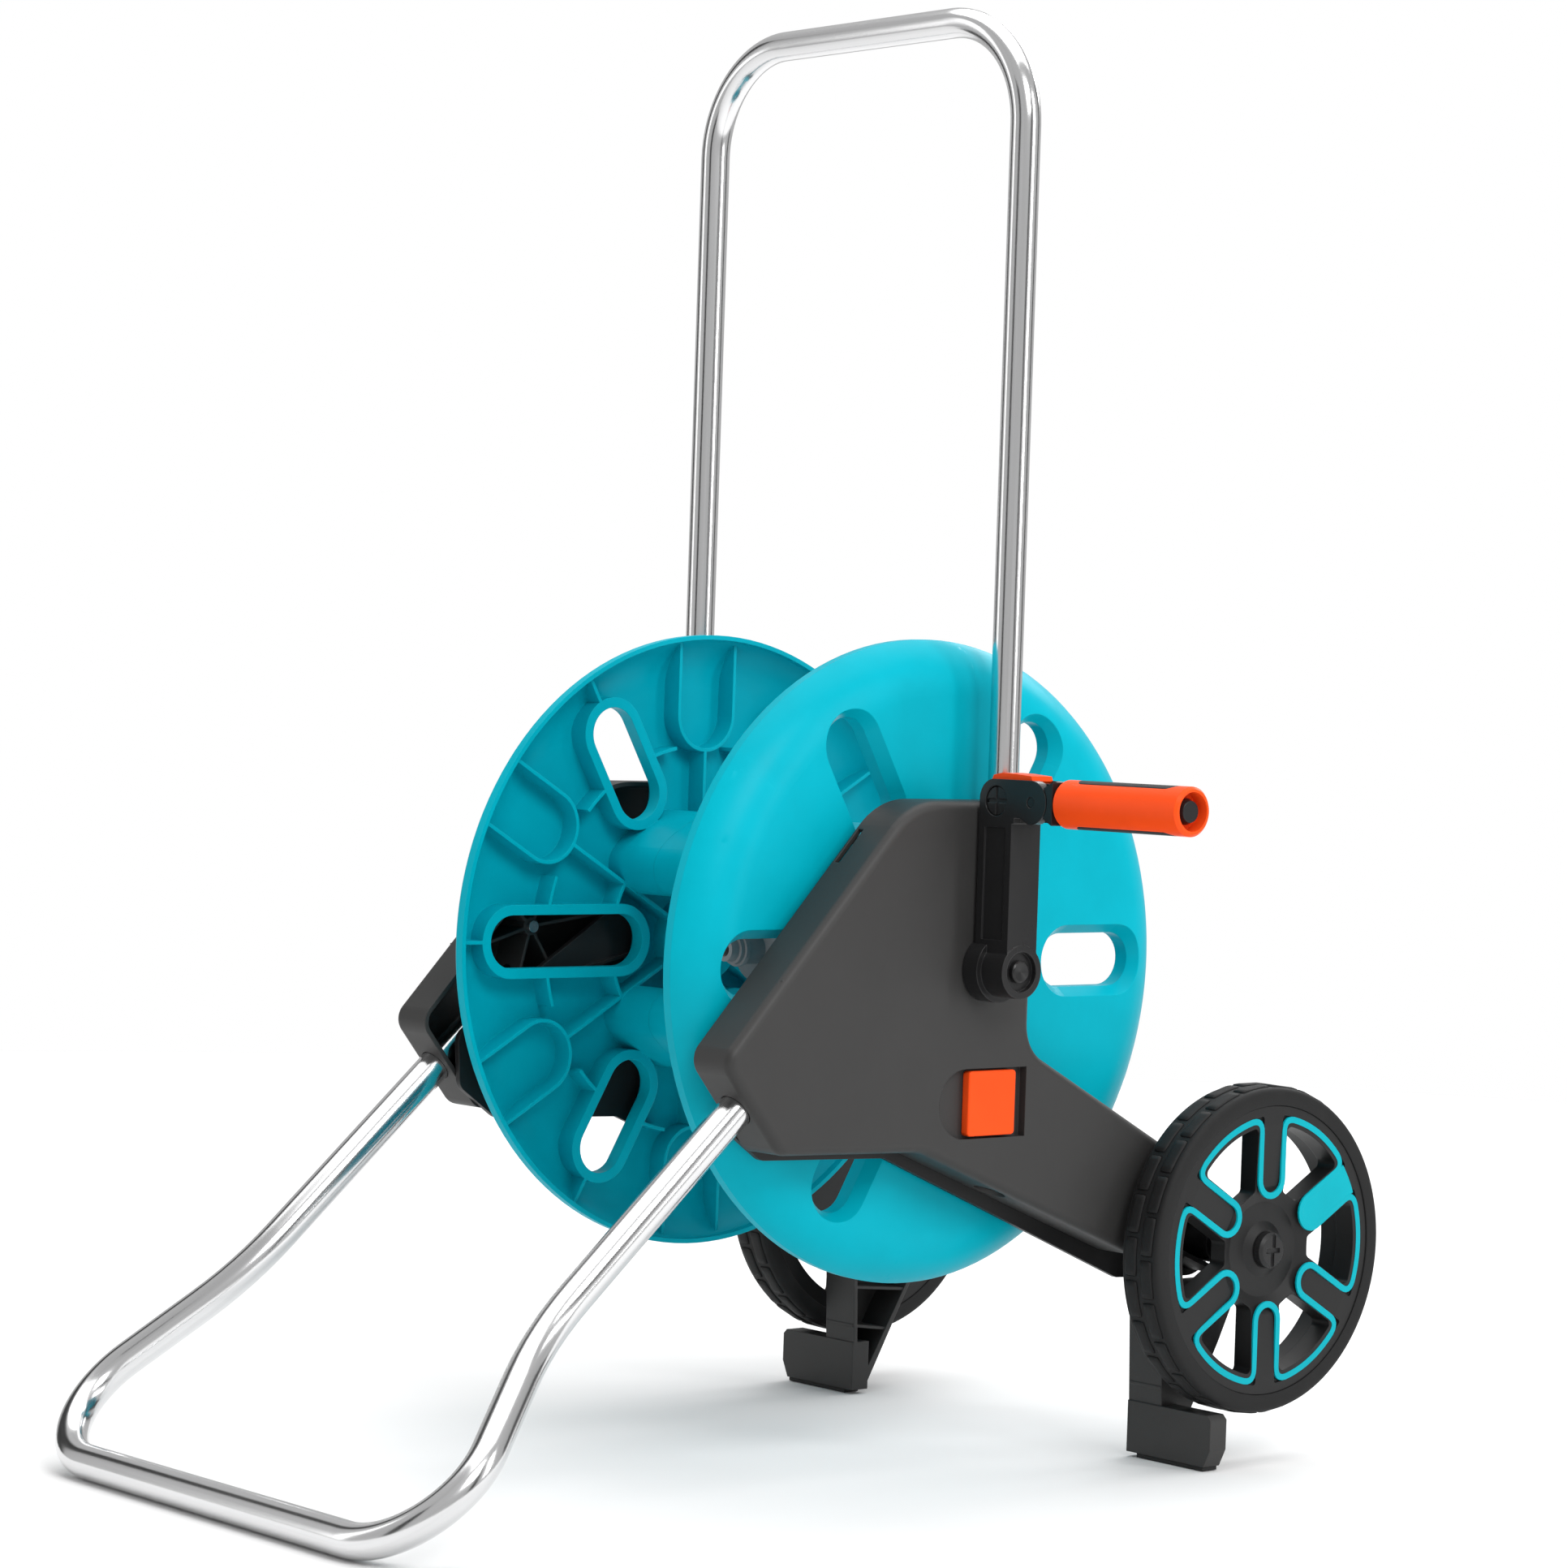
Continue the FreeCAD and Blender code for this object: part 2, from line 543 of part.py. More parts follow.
# Side cover: a rounded tray open towards the drum, with webs, a screw boss, windows and tube openings.
cover_corners = {
    "top_front": ("dims.cover_top_front_y", "dims.cover_top_z"), "nose": ("dims.cover_nose_y", "dims.cover_nose_z"),
    "chin": ("dims.cover_chin_y", "dims.cover_chin_z"), "belly": ("dims.cover_belly_y", "dims.cover_belly_z"),
    "heel": ("dims.cover_heel_y", "dims.cover_heel_z"), "tail": ("dims.cover_tail_y", "dims.cover_tail_z"),
    "neck": ("dims.cover_back_y", "dims.cover_neck_z"), "top_back": ("dims.cover_back_y", "dims.cover_top_z")}
cover_rounds = {"dims.cover_sharp_round": ("nose", "chin", "heel", "tail", "top_back"),
                "dims.cover_soft_round": ("belly", "neck"), "dims.cover_top_round": ("top_front",)}


def corner_spots(names):
    """Numbers of the named cover corners in Y and Z."""
    return [tuple(value(expression) for expression in cover_corners[name]) for name in names]


cover = new_body("right_side_cover", GROUND)
extrude(cover, "cover_block", "x", "dims.cover_inner_x", "dims.cover_outer_x - dims.cover_inner_x",
        list(cover_corners.values()))
for radius, names in cover_rounds.items():
    spots = corner_spots(names)
    round_edges(cover, "corners_" + names[0], lambda edge: along_x_at(edge, spots), radius)
outer_x = value("dims.cover_outer_x")
round_edges(cover, "outer_round",
            lambda edge: all(abs(vertex.Point.x - outer_x) < 0.01 for vertex in edge.Vertexes),
            "dims.cover_edge_round")
doc.recompute()
inner_x = value("dims.cover_inner_x")
open_face = next("Face%d" % (i + 1) for i, face in enumerate(cover.Tip.Shape.Faces)
                 if abs(face.CenterOfMass.x - inner_x) < 0.01)
solid_cover = cover.Tip
shell = cover.newObject("PartDesign::Thickness", "cover_shell")
shell.Base = (solid_cover, [open_face])
shell.setExpression("Value", "dims.cover_wall")
shell.Reversed = True
shell.Mode = 0
shell.Join = 0
web_start, web_run = "dims.cover_inner_x + 1.5", "dims.cover_outer_x - dims.cover_inner_x - dims.cover_wall - 1"
boss = ("dims.boss_y", "dims.boss_z")


def web_from_boss(angle, reach):
    """Outline of a straight web that leaves the screw boss at an angle."""
    outline = bar(str(angle), "dims.boss_radius - 1.5", str(reach), "0.9")
    return [("%s + %s" % (boss[0], h), "%s + %s" % (boss[1], v)) for h, v in outline]


def reach_to_front(angle):
    """Length of a web at an angle from the screw boss to the middle of the cover's slanted front wall."""
    rise, run = "(dims.cover_top_z - dims.cover_nose_z)", "(dims.cover_top_front_y - dims.cover_nose_y)"
    offset = "((dims.cover_nose_y - dims.boss_y) * %s - (dims.cover_nose_z - dims.boss_z) * %s)" % (rise, run)
    return "(%s / (cos(%d) * %s - sin(%d) * %s) - 0.8 * dims.cover_wall)" % (offset, angle, rise, angle, run)


extrude(cover, "boss", "x", web_start, web_run, circles=[(boss, "dims.boss_radius")])
for number, (angle, reach) in enumerate((
        (137, reach_to_front(137)), (197, reach_to_front(197)), (255, 90), (303, 105), (8, 70), (62, 76))):
    extrude(cover, "web_%d" % number, "x", web_start, web_run, web_from_boss(angle, reach))
extrude(cover, "boss_bore", "x", "dims.cover_inner_x", "20", circles=[(boss, "dims.screw_radius - 0.3")], cut=True)
window = ("dims.window_front_y", "dims.window_back_y")
window_mid = "(dims.button_z + dims.button_height / 2)"
dish_back = "(dims.cover_outer_x - dims.cover_wall - 5)"
extrude(cover, "window_housing", "x", dish_back, "5.2", [
    (window[0] + " - 3", window_mid + " - dims.window_round - 3"), (window[1] + " + 3", window_mid + " - dims.window_round - 3"),
    (window[1] + " + 3", window_mid + " + dims.window_round + 3"), (window[0] + " - 3", window_mid + " + dims.window_round + 3")])
low, high = window_mid + " - dims.window_round", window_mid + " + dims.window_round"
round_centre = window[0] + " + dims.window_round"
extrude(cover, "window_recess", "x", dish_back + " + 2.2", "20", [
    (round_centre, low), (window[1], low), (window[1], high), (round_centre, high)],
    {3: (round_centre, window_mid, 1)}, cut=True)
stem_back = "(dims.button_y + 12)"
stop_y = "(%s + dims.button_travel + 5.6)" % stem_back
extrude(cover, "window_slot", "x", dish_back + " - 5", "12", [
    ("dims.button_y + 1", window_mid + " - 7"), (stem_back + " + dims.button_travel + 1", window_mid + " - 7"),
    (stem_back + " + dims.button_travel + 1", window_mid + " + 7"), ("dims.button_y + 1", window_mid + " + 7")], cut=True)
extrude(cover, "spring_stop", "x", dish_back + " - 5.2", "5.7", [
    (stop_y, window_mid + " - 5"), (stop_y + " + 1.6", window_mid + " - 5"),
    (stop_y + " + 1.6", window_mid + " + 5"), (stop_y, window_mid + " + 5")])
tube_gap = "(dims.handle_radius + 0.5)"
extrude(cover, "handle_way", "z", "dims.cover_chin_z - 60", "300", circles=[(("dims.leg_x", "dims.handle_y"), tube_gap)], cut=True)
extrude(cover, "shaft_way", "x", "dims.cover_inner_x", "60",
        circles=[(("0", "dims.drum_axis_z"), "dims.shaft_radius + 4.2")], cut=True)
extrude(cover, "arm_way", "x", "dims.cover_inner_x - 1", "dims.cover_outer_x - dims.cover_wall - dims.cover_inner_x + 0.6", [
    ("dims.cover_heel_y - 10", "dims.cover_heel_z - 10"), ("dims.cover_tail_y + 12", "dims.cover_heel_z - 10"),
    ("dims.cover_tail_y + 12", "dims.cover_tail_z - 13"), ("dims.cover_heel_y - 6", "dims.cover_tail_z - 13")], cut=True)
front_slope = "atan((dims.cover_top_z - dims.cover_nose_z) / (dims.cover_top_front_y - dims.cover_nose_y))"


def on_front_slope(along, inward):
    """Point on the cover's slanted front wall, measured down from the top corner and in from the wall's face."""
    return ("dims.cover_top_front_y - %s * cos(%s) + %s * sin(%s)" % (along, front_slope, inward, front_slope),
            "dims.cover_top_z - %s * sin(%s) - %s * cos(%s)" % (along, front_slope, inward, front_slope))


extrude(cover, "strap_slot", "x", "dims.cover_inner_x + 1.6", "4.5", [
    on_front_slope("24", "-2"), on_front_slope("50", "-2"), on_front_slope("50", "4.5"), on_front_slope("24", "4.5")],
    cut=True)
slope_sketch = new_sketch(cover, "stand_way_sketch", "z")
slope_sketch.AttachmentOffset = Placement(Vector(0, 0, 0), Rotation(Vector(1, 0, 0), -90 + value("dims.stand_slope")))
slope_sketch.setExpression("AttachmentOffset.Base.y", "dims.stand_front_y")
slope_sketch.setExpression("AttachmentOffset.Base.z", "dims.stand_radius")
slope_sketch.setExpression("AttachmentOffset.Rotation.Angle", "dims.stand_slope - 90")
draw_circle(slope_sketch, ("dims.leg_x", "0"), "dims.stand_radius + 0.3")
stand_way = cover.newObject("PartDesign::Pocket", "stand_way")
stand_way.Profile = slope_sketch
stand_way.setExpression("Length", "dims.stand_run + 20")
stand_way.Reversed = True
keep(cover, "right_side_cover")
mirrored(cover, "left_side_cover")

# Inner frame: the black carrier between cover and drum that holds shaft, tubes, button rail and wheel axle.
frame = new_body("right_inner_frame", GROUND)
frame_out = "(%s + dims.frame_wall)" % frame_face
tray_depth = "(dims.cover_outer_x - dims.cover_wall - dims.frame_gap - %s)" % frame_out
frame_outline = [
    ("-30", "dims.drum_axis_z + 34"), ("dims.cover_chin_y - 18", "dims.cover_chin_z + 46"),
    ("dims.cover_chin_y - 16", "dims.cover_chin_z + 14"), ("dims.cover_chin_y + 12", "dims.cover_chin_z - 6"),
    ("dims.cover_belly_y - 2", "dims.cover_belly_z - 6"), ("dims.cover_heel_y + 6", "dims.cover_heel_z - 14"),
    ("dims.wheel_y", "dims.wheel_z - dims.axle_arm_round"), ("dims.wheel_y", "dims.wheel_z + dims.axle_arm_round"),
    ("dims.cover_tail_y - 4", "dims.cover_tail_z - 8"), ("dims.cover_back_y - 2", "dims.cover_neck_z + 2"),
    ("dims.cover_back_y - 2", "dims.drum_axis_z + 34")]
extrude(frame, "frame_plate", "x", frame_face, "dims.frame_wall", frame_outline,
        {6: ("dims.wheel_y", "dims.wheel_z", 1)})
for number, (spot, radius) in enumerate((
        (("0", "dims.drum_axis_z"), "%s + 4" % bush_out), (("dims.wheel_y", "dims.wheel_z"), "dims.axle_radius + 7"),
        ((boss[0] + " + 14", "dims.cover_chin_z + 16"), "dims.boss_radius"),
        (("90", "dims.cover_belly_z - 24"), "dims.boss_radius"))):
    extrude(frame, "frame_boss_%d" % number, "x", frame_out + " - 0.5", tray_depth + " + 0.5",
            circles=[(spot, radius)])
for number, (first, second) in enumerate((
        (("dims.cover_heel_y - 6", "dims.cover_heel_z + 18"), ("dims.wheel_y + 2", "dims.wheel_z - 20")),
        (("dims.cover_heel_y - 5", "dims.cover_tail_z - 24"), ("dims.wheel_y + 2", "dims.wheel_z + 16")))):
    extrude(frame, "arm_rail_%d" % number, "x", frame_out + " - 0.5", tray_depth + " - 1",
            [first, second, (second[0], second[1] + " + 3"), (first[0], first[1] + " + 3")])
rib_depth = "2.4"
for number, (from_y, from_z, to_y, to_z) in enumerate((
        ("-24", "-24", "dims.cover_chin_y + 4", "dims.cover_chin_z + 34 - dims.drum_axis_z"),
        ("-26", "-8", "dims.cover_chin_y", "dims.cover_nose_z + 12 - dims.drum_axis_z"),
        ("20", "-30", "110", "dims.cover_heel_z + 40 - dims.drum_axis_z"))):
    extrude(frame, "face_rib_%d" % number, "x", frame_face + " - " + rib_depth, rib_depth + " + 0.5", [
        (from_y, "dims.drum_axis_z + (%s)" % from_z), (to_y, "dims.drum_axis_z + (%s)" % to_z),
        (to_y, "dims.drum_axis_z + (%s) + 2.4" % to_z), (from_y, "dims.drum_axis_z + (%s) + 2.4" % from_z)])
sleeve_low, sleeve_high = "dims.cover_neck_z - 2", "dims.drum_axis_z + 30"
extrude(frame, "sleeve", "z", sleeve_low, "%s - (%s)" % (sleeve_high, sleeve_low),
        circles=[(("dims.leg_x", "dims.handle_y"), "dims.handle_radius + dims.sleeve_wall")])
extrude(frame, "sleeve_foot", "z", sleeve_low, "%s - (%s)" % (sleeve_high, sleeve_low), [
    (frame_out + " - 0.5", "dims.handle_y - 6"), ("dims.leg_x", "dims.handle_y - 6"),
    ("dims.leg_x", "dims.handle_y + 6"), (frame_out + " - 0.5", "dims.handle_y + 6")])
extrude(frame, "sleeve_flat", "z", sleeve_low + " - 1", "%s - (%s) + 2" % (sleeve_high, sleeve_low), [
    (frame_out + " + 0.5", "dims.cover_back_y - dims.cover_wall - 0.6"), ("dims.leg_x + 20", "dims.cover_back_y - dims.cover_wall - 0.6"),
    ("dims.leg_x + 20", "dims.cover_back_y + 9"), (frame_out + " + 0.5", "dims.cover_back_y + 9")], cut=True)
extrude(frame, "handle_bore", "z", "50", "dims.handle_top_z", cut=True,
        circles=[(("dims.leg_x", "dims.handle_y"), "dims.handle_radius + dims.frame_gap")])
extrude(frame, "bush_bore", "x", frame_face + " - 5", "60", cut=True,
        circles=[(("0", "dims.drum_axis_z"), bush_out + " + dims.running_gap")])
extrude(frame, "bush_seat", "x", frame_out + " - 1.6", "60", cut=True,
        circles=[(("0", "dims.drum_axis_z"), bush_out + " + dims.bush_flange + dims.fixed_gap")])
extrude(frame, "axle_bore", "x", frame_face + " - 5", "60", cut=True,
        circles=[(("dims.wheel_y", "dims.wheel_z"), "dims.axle_radius + dims.running_gap")])
round_edges(frame, "frame_corners", lambda edge: along_x_at(edge, [
    (value("dims.cover_chin_y - 18"), value("dims.cover_chin_z + 46")),
    (value("dims.cover_chin_y - 16"), value("dims.cover_chin_z + 14")),
    (value("dims.cover_chin_y + 12"), value("dims.cover_chin_z - 6")), (-30, value("dims.drum_axis_z + 34"))]), "9")
keep(frame, "right_inner_frame")
mirrored(frame, "left_inner_frame")

# Foot: a hollow ribbed leg under the axle with a toe that passes below the wheel.
foot = new_body("right_foot", GROUND)
foot_in = "(%s + 0.2)" % frame_out
foot_depth = "(dims.cover_outer_x - dims.cover_wall - 1 - %s)" % foot_in
leg_top = "dims.wheel_z - dims.axle_arm_round - 1.5"
leg_outline = [
    ("dims.foot_front_y", leg_top), ("dims.foot_front_y + 4", "2.5"), ("dims.foot_front_y + 13", "2.5"),
    ("dims.foot_back_y - 6", "70"), ("dims.foot_back_y + 12", leg_top)]
extrude(foot, "leg", "x", foot_in, foot_depth, leg_outline)
inset = "dims.foot_wall"
extrude(foot, "leg_hollow", "x", foot_in, foot_depth + " - " + inset, [
    ("dims.foot_front_y + 0.4 + " + inset, leg_top + " - " + inset),
    ("dims.foot_front_y + 4.2 + " + inset, "9"), ("dims.foot_front_y + 13.5 - " + inset, "9"),
    ("dims.foot_back_y - 6.6 - " + inset, "70"), ("dims.foot_back_y + 10.5 - " + inset, leg_top + " - " + inset)],
    cut=True)
for number, share in enumerate((0.38, 0.62, 0.86)):
    at = "(%s) * %s" % (leg_top, share)
    back = "(dims.foot_front_y + 13 + (dims.foot_back_y - dims.foot_front_y - 19) * ((%s) - 2.5) / 67.5)" % at
    extrude(foot, "cross_web_%d" % number, "x", foot_in + " + 1", foot_depth + " - 1.5", [
        ("dims.foot_front_y + 2", at + " + 4"), (back + " - 2", at), (back + " - 2", at + " + 1.8"),
        ("dims.foot_front_y + 2", at + " + 5.8")])
extrude(foot, "toe", "y", "dims.foot_front_y + 2", "dims.foot_toe_depth", [
    (foot_in, "2.5"), ("dims.foot_toe_x - 5", "2.5"), ("dims.foot_toe_x", "13"),
    ("dims.foot_toe_x", "dims.foot_toe_height - 3"), ("dims.foot_toe_x - 3", "dims.foot_toe_height"),
    (foot_in, "dims.foot_toe_height")])
extrude(foot, "tab", "x", foot_in, "6", [
    ("dims.wheel_y - 30", leg_top + " - 0.5"), ("dims.wheel_y - 12", leg_top + " - 0.5"),
    ("dims.wheel_y - 12", leg_top + " + 8"), ("dims.wheel_y - 30", leg_top + " + 8")])
keep(foot, "right_foot")
mirrored(foot, "left_foot")

# Sole pad: the flat piece under each foot that rests on the ground.
sole = new_body("right_foot_sole", GROUND)
extrude(sole, "sole_pad", "z", "0", "dims.sole_thickness - 0.7", [
    (foot_in + " + 8", "dims.foot_front_y + 3"), ("dims.foot_toe_x - 6", "dims.foot_front_y + 3"),
    ("dims.foot_toe_x - 6", "dims.foot_front_y + 15"), (foot_in + " + 8", "dims.foot_front_y + 15")])
keep(sole, "right_foot_sole")
mirrored(sole, "left_foot_sole")


def tube(label, place, path_points, path_arcs, start_normal, radius):
    """Make a bent tube that follows a path on the body's XY plane."""
    body = new_body(label, place)
    path = new_sketch(body, label + "_path", "z")
    draw(path, path_points, path_arcs, closed=False)
    section = new_sketch(body, label + "_section", start_normal[0], start_normal[1])
    draw_circle(section, start_normal[2], radius)
    draw_circle(section, start_normal[2], "%s - dims.tube_wall" % radius)
    pipe = body.newObject("PartDesign::AdditivePipe", label + "_pipe")
    pipe.Profile = section
    pipe.Spine = (path, ["Edge%d" % (number + 1) for number in range(len(path_points) - 1)])
    pipe.Mode = "Standard"
    return keep(body, label)


# Handle: one U-shaped tube, drawn flat with the top bar along X, and stood up by its placement.
leg_top_y = "dims.handle_top_z - dims.handle_bend"
bar_x = "(dims.leg_x - dims.handle_bend)"
handle = tube("handle_tube", ("-%s" % MID_X, "dims.handle_y - %s" % MID_Y, "0"), [
    ("dims.leg_x", "dims.handle_tail_z"), ("dims.leg_x", leg_top_y), (bar_x, "dims.handle_top_z"),
    ("-" + bar_x, "dims.handle_top_z"), ("-dims.leg_x", leg_top_y), ("-dims.leg_x", "dims.handle_tail_z")],
    {1: (bar_x, leg_top_y, 1), 3: ("-" + bar_x, leg_top_y, 1)},
    ("y", "dims.handle_tail_z", ("dims.leg_x", "0")), "dims.handle_radius")
handle.Placement = Placement(handle.Placement.Base, Rotation(Vector(1, 0, 0), 90))

# Stand: a tube bent in one sloping plane, with a front bar on the ground and two legs into the covers.
splay = "(atan((dims.stand_half_bar - dims.leg_x) / dims.stand_splay_run))"
corner_cut = "(dims.stand_corner * tan((90 deg + %s) / 2))" % splay
bend_cut = "(dims.stand_bend * tan(%s / 2))" % splay
knee = ("dims.leg_x", "dims.stand_splay_run")
corner = ("dims.stand_half_bar", "0")
points_right = [
    ("dims.leg_x", "dims.stand_run"), (knee[0], "%s + %s" % (knee[1], bend_cut)),
    ("%s + %s * sin(%s)" % (knee[0], bend_cut, splay), "%s - %s * cos(%s)" % (knee[1], bend_cut, splay)),
    ("%s - %s * sin(%s)" % (corner[0], corner_cut, splay), "%s * cos(%s)" % (corner_cut, splay)),
    ("%s - %s" % (corner[0], corner_cut), "0")]
bend_centre = ("%s + dims.stand_bend" % knee[0], "%s + %s" % (knee[1], bend_cut))
corner_centre = ("%s - %s" % (corner[0], corner_cut), "dims.stand_corner")
points_left = [("-(%s)" % h, v) for h, v in reversed(points_right)]
stand = tube("stand_tube", ("-%s" % MID_X, "dims.stand_front_y - %s" % MID_Y, "dims.stand_radius"),
             points_right + points_left,
             {1: bend_centre + (1,), 3: corner_centre + (-1,), 5: ("-(%s)" % corner_centre[0], corner_centre[1], -1),
              7: ("-(%s)" % bend_centre[0], bend_centre[1], 1)},
             ("y", "dims.stand_run", ("dims.leg_x", "0")), "dims.stand_radius")
stand.Placement = Placement(stand.Placement.Base, Rotation(Vector(1, 0, 0), value("dims.stand_slope")))
stand.setExpression("Placement.Rotation.Angle", "dims.stand_slope")

# Slider button: orange cap in the cover's window on a rail block, pushed back by its spring.
button = new_body("right_slider_button", GROUND)
face_low, face_high = "dims.button_z", "dims.button_z + dims.button_height"
extrude(button, "button_face", "x", dish_back + " + 2.6", "dims.cover_outer_x + 0.4 - %s - 2.6" % dish_back, [
    ("dims.button_y", face_low), ("dims.button_y + dims.button_length", face_low),
    ("dims.button_y + dims.button_length", face_high), ("dims.button_y", face_high)])
button_x = value("dims.cover_outer_x + 0.4")
round_edges(button, "button_corners", lambda edge: along_x_at(edge, [
    (value("dims.button_y"), value(face_low)), (value("dims.button_y"), value(face_high)),
    (value("dims.button_y + dims.button_length"), value(face_low)),
    (value("dims.button_y + dims.button_length"), value(face_high))]), "2.5")
round_edges(button, "button_edge", lambda edge: all(abs(v.Point.x - button_x) < 0.01 for v in edge.Vertexes), "1.2")
extrude(button, "button_stem", "x", dish_back + " - 5.2", "8.2", [
    ("dims.button_y + 2", window_mid + " - 6"), (stem_back, window_mid + " - 6"),
    (stem_back, window_mid + " + 6"), ("dims.button_y + 2", window_mid + " + 6")])
keep(button, "right_slider_button")
mirrored(button, "left_slider_button")

# Slider spring: a coil along Y between the button's stem and the end of the cover's slot.
spring_free = "(%s - %s - 0.4)" % (stop_y, stem_back)
spring_body = new_body("right_slider_spring", (
    "%s - 2.7 - %s" % (dish_back, MID_X), "%s + 0.2 - %s" % (stem_back, MID_Y), window_mid))
coil_sketch = new_sketch(spring_body, "coil_sketch", "z")
draw_circle(coil_sketch, ("1.9", "dims.spring_wire / 2"), "dims.spring_wire / 2")
coil = spring_body.newObject("PartDesign::AdditiveHelix", "coil")
coil.Profile = coil_sketch
coil.ReferenceAxis = (coil_sketch, ["V_Axis"])
coil.Mode = "height-turns-angle"
coil.setExpression("Height", spring_free + " - dims.spring_wire")
coil.Turns = 5
keep(spring_body, "right_slider_spring")
mirrored(spring_body, "left_slider_spring")

# Wheel axle: a plastic stub with a shoulder, pushed into the inner frame from outside.
wheel_in = "(dims.wheel_x - dims.wheel_half_width)"
wheel_out = "(dims.wheel_x + dims.wheel_half_width)"
AXLE = ("-%s" % MID_X, WHEEL[1], WHEEL[2])
axle_r = "dims.axle_radius"
axle = turned_piece("right_wheel_axle", AXLE, [
    (frame_face + " + 0.5", "0"), (wheel_out + " - 1.5", "0"), (wheel_out + " - 1.5", axle_r),
    ("dims.cover_outer_x + 3", axle_r), ("dims.cover_outer_x + 3", axle_r + " + 5"),
    ("dims.cover_outer_x", axle_r + " + 5"), ("dims.cover_outer_x", axle_r), (frame_face + " + 0.5", axle_r)])
mirrored(axle, "left_wheel_axle")

# Tyre: a hollow ring with a crowned tread and two staggered rows of shallow pads.
radius = "dims.wheel_radius"
half = "dims.wheel_half_width"
tyre = new_body("right_wheel_tyre", WHEEL)
seat = "(%s - dims.tyre_depth)" % radius
turn(tyre, "tyre_ring", [
    ("-" + half, seat), ("-" + half, radius + " - 5"), ("-%s + 4" % half, radius + " - dims.tread_depth"),
    (half + " - 4", radius + " - dims.tread_depth"), (half, radius + " - 5"), (half, seat)])
pads = []
for name, from_x, to_x, phase in (("inner", "-%s + 3" % half, "-1", 0.0), ("outer", "1", half + " - 3", 0.5)):
    pad_top = [(from_x, radius + " - dims.tread_depth - 1"), (to_x, radius + " - dims.tread_depth - 1"),
               (to_x, radius + " - 0.6"), ("(%s + %s) / 2" % (from_x, to_x), radius), (from_x, radius + " - 0.6")]
    pad = turn(tyre, "pad_" + name, pad_top)
    pad.Angle = 8.5
    pad.Profile[0].AttachmentOffset = Placement(Vector(0, 0, 0), Rotation(Vector(1, 0, 0), phase * 15.0))
    pads.append(pad)
repeat(tyre, "tread", pads, "dims.tread_pads")
keep(tyre, "right_wheel_tyre")
mirrored(tyre, "left_wheel_tyre")

# Wheel rim: hub, six wide spokes between rounded windows, and a groove in the outer face for the inlay.
rim = new_body("right_rim_body", WHEEL)
hub_r = "dims.wheel_hub_radius"
rim_edge = "(%s - dims.fixed_gap)" % seat
turn(rim, "rim_disc", [
    ("-%s + 1" % half, axle_r + " + dims.running_gap"), (half + " - 4", axle_r + " + dims.running_gap"),
    (half + " - 4", hub_r + " - 5"), (half + " - 7", hub_r), (half + " - 7", "dims.window_inner - 8"),
    (half + " - 2.5", "dims.window_inner + 2"), (half + " - 1", "dims.window_outer"), (half + " - 1", rim_edge),
    ("-%s + 1" % half, rim_edge), ("-%s + 1" % half, "dims.window_outer + 2"), ("0", "dims.window_outer + 2"),
    ("0", hub_r + " + 1"), ("-%s + 1" % half, hub_r + " - 2")])
spoke = "dims.spoke_half_width"
far_half = "(30 deg - asin(%s / dims.window_outer))" % spoke
near_half = "(30 deg - asin(%s / dims.window_inner))" % spoke
far_y, far_z = "dims.window_outer * cos(%s)" % far_half, "dims.window_outer * sin(%s)" % far_half
near_y, near_z = "dims.window_inner * cos(%s)" % near_half, "dims.window_inner * sin(%s)" % near_half
extrude(rim, "window_hole", "x", "-20", "60", [
    (near_y, "-" + near_z), (far_y, "-" + far_z), (far_y, far_z), (near_y, near_z)],
    {1: ("0", "0", 1)}, cut=True)
round_edges(rim, "window_corners", lambda edge: along_x_at(edge, [
    (value(far_y), value(far_z)), (value(far_y), -value(far_z)),
    (value(near_y), value(near_z)), (value(near_y), -value(near_z))]), "3.5")
windows = repeat(rim, "windows", [rim.getObject("window_hole"), rim.getObject("window_corners")], "6")


def inlay_band(width):
    """Face of the inlay: a band that turns back at the hub end of every spoke, with the first spoke filled."""
    outer, inner = value("dims.inlay_path_radius"), value("dims.inlay_hub_radius")
    side = value("dims.spoke_half_width") - 2.6
    lead = math.degrees(math.asin(side / outer))
    at = lambda size, angle: Vector(0, size * math.cos(math.radians(angle)), size * math.sin(math.radians(angle)))
    edges = []
    for step in range(6):
        spoke_angle = 30.0 + 60.0 * step
        along, across = at(1, spoke_angle), at(1, spoke_angle + 90)
        turn_in, turn_out = along * (inner + side) - across * side, along * (inner + side) + across * side
        rim_in, rim_out = at(outer, spoke_angle - lead), at(outer, spoke_angle + lead)
        edges += [Part.makeLine(rim_in, turn_in), Part.Arc(turn_in, along * inner, turn_out).toShape(),
                  Part.makeLine(turn_out, rim_out),
                  Part.Arc(rim_out, at(outer, spoke_angle + 30), at(outer, spoke_angle + 60 - lead)).toShape()]
    path = Part.Wire(edges)
    rims = [path.makeOffset2D(sign * width / 2, join=0) for sign in (1, -1)]
    rims.sort(key=lambda wire: -Part.Face(wire).Area)
    band = Part.Face(rims[0]).cut(Part.Face(rims[1]))
    first_in, first_arc, first_out = edges[:3]
    low, high = first_in.Vertexes[0].Point, first_out.Vertexes[-1].Point
    spoke_end = Part.Arc(high, at(outer, 30.0), low).toShape()
    field = Part.Face(Part.Wire([first_in, first_arc, first_out, spoke_end]))
    return band.fuse(field).removeSplitter()


def inlay_solid(width, depth, top):
    """Solid of the inlay from its depth up to the rim's face."""
    band = inlay_band(width)
    band.translate(Vector(top - depth, 0, 0))
    return band.extrude(Vector(depth, 0, 0))


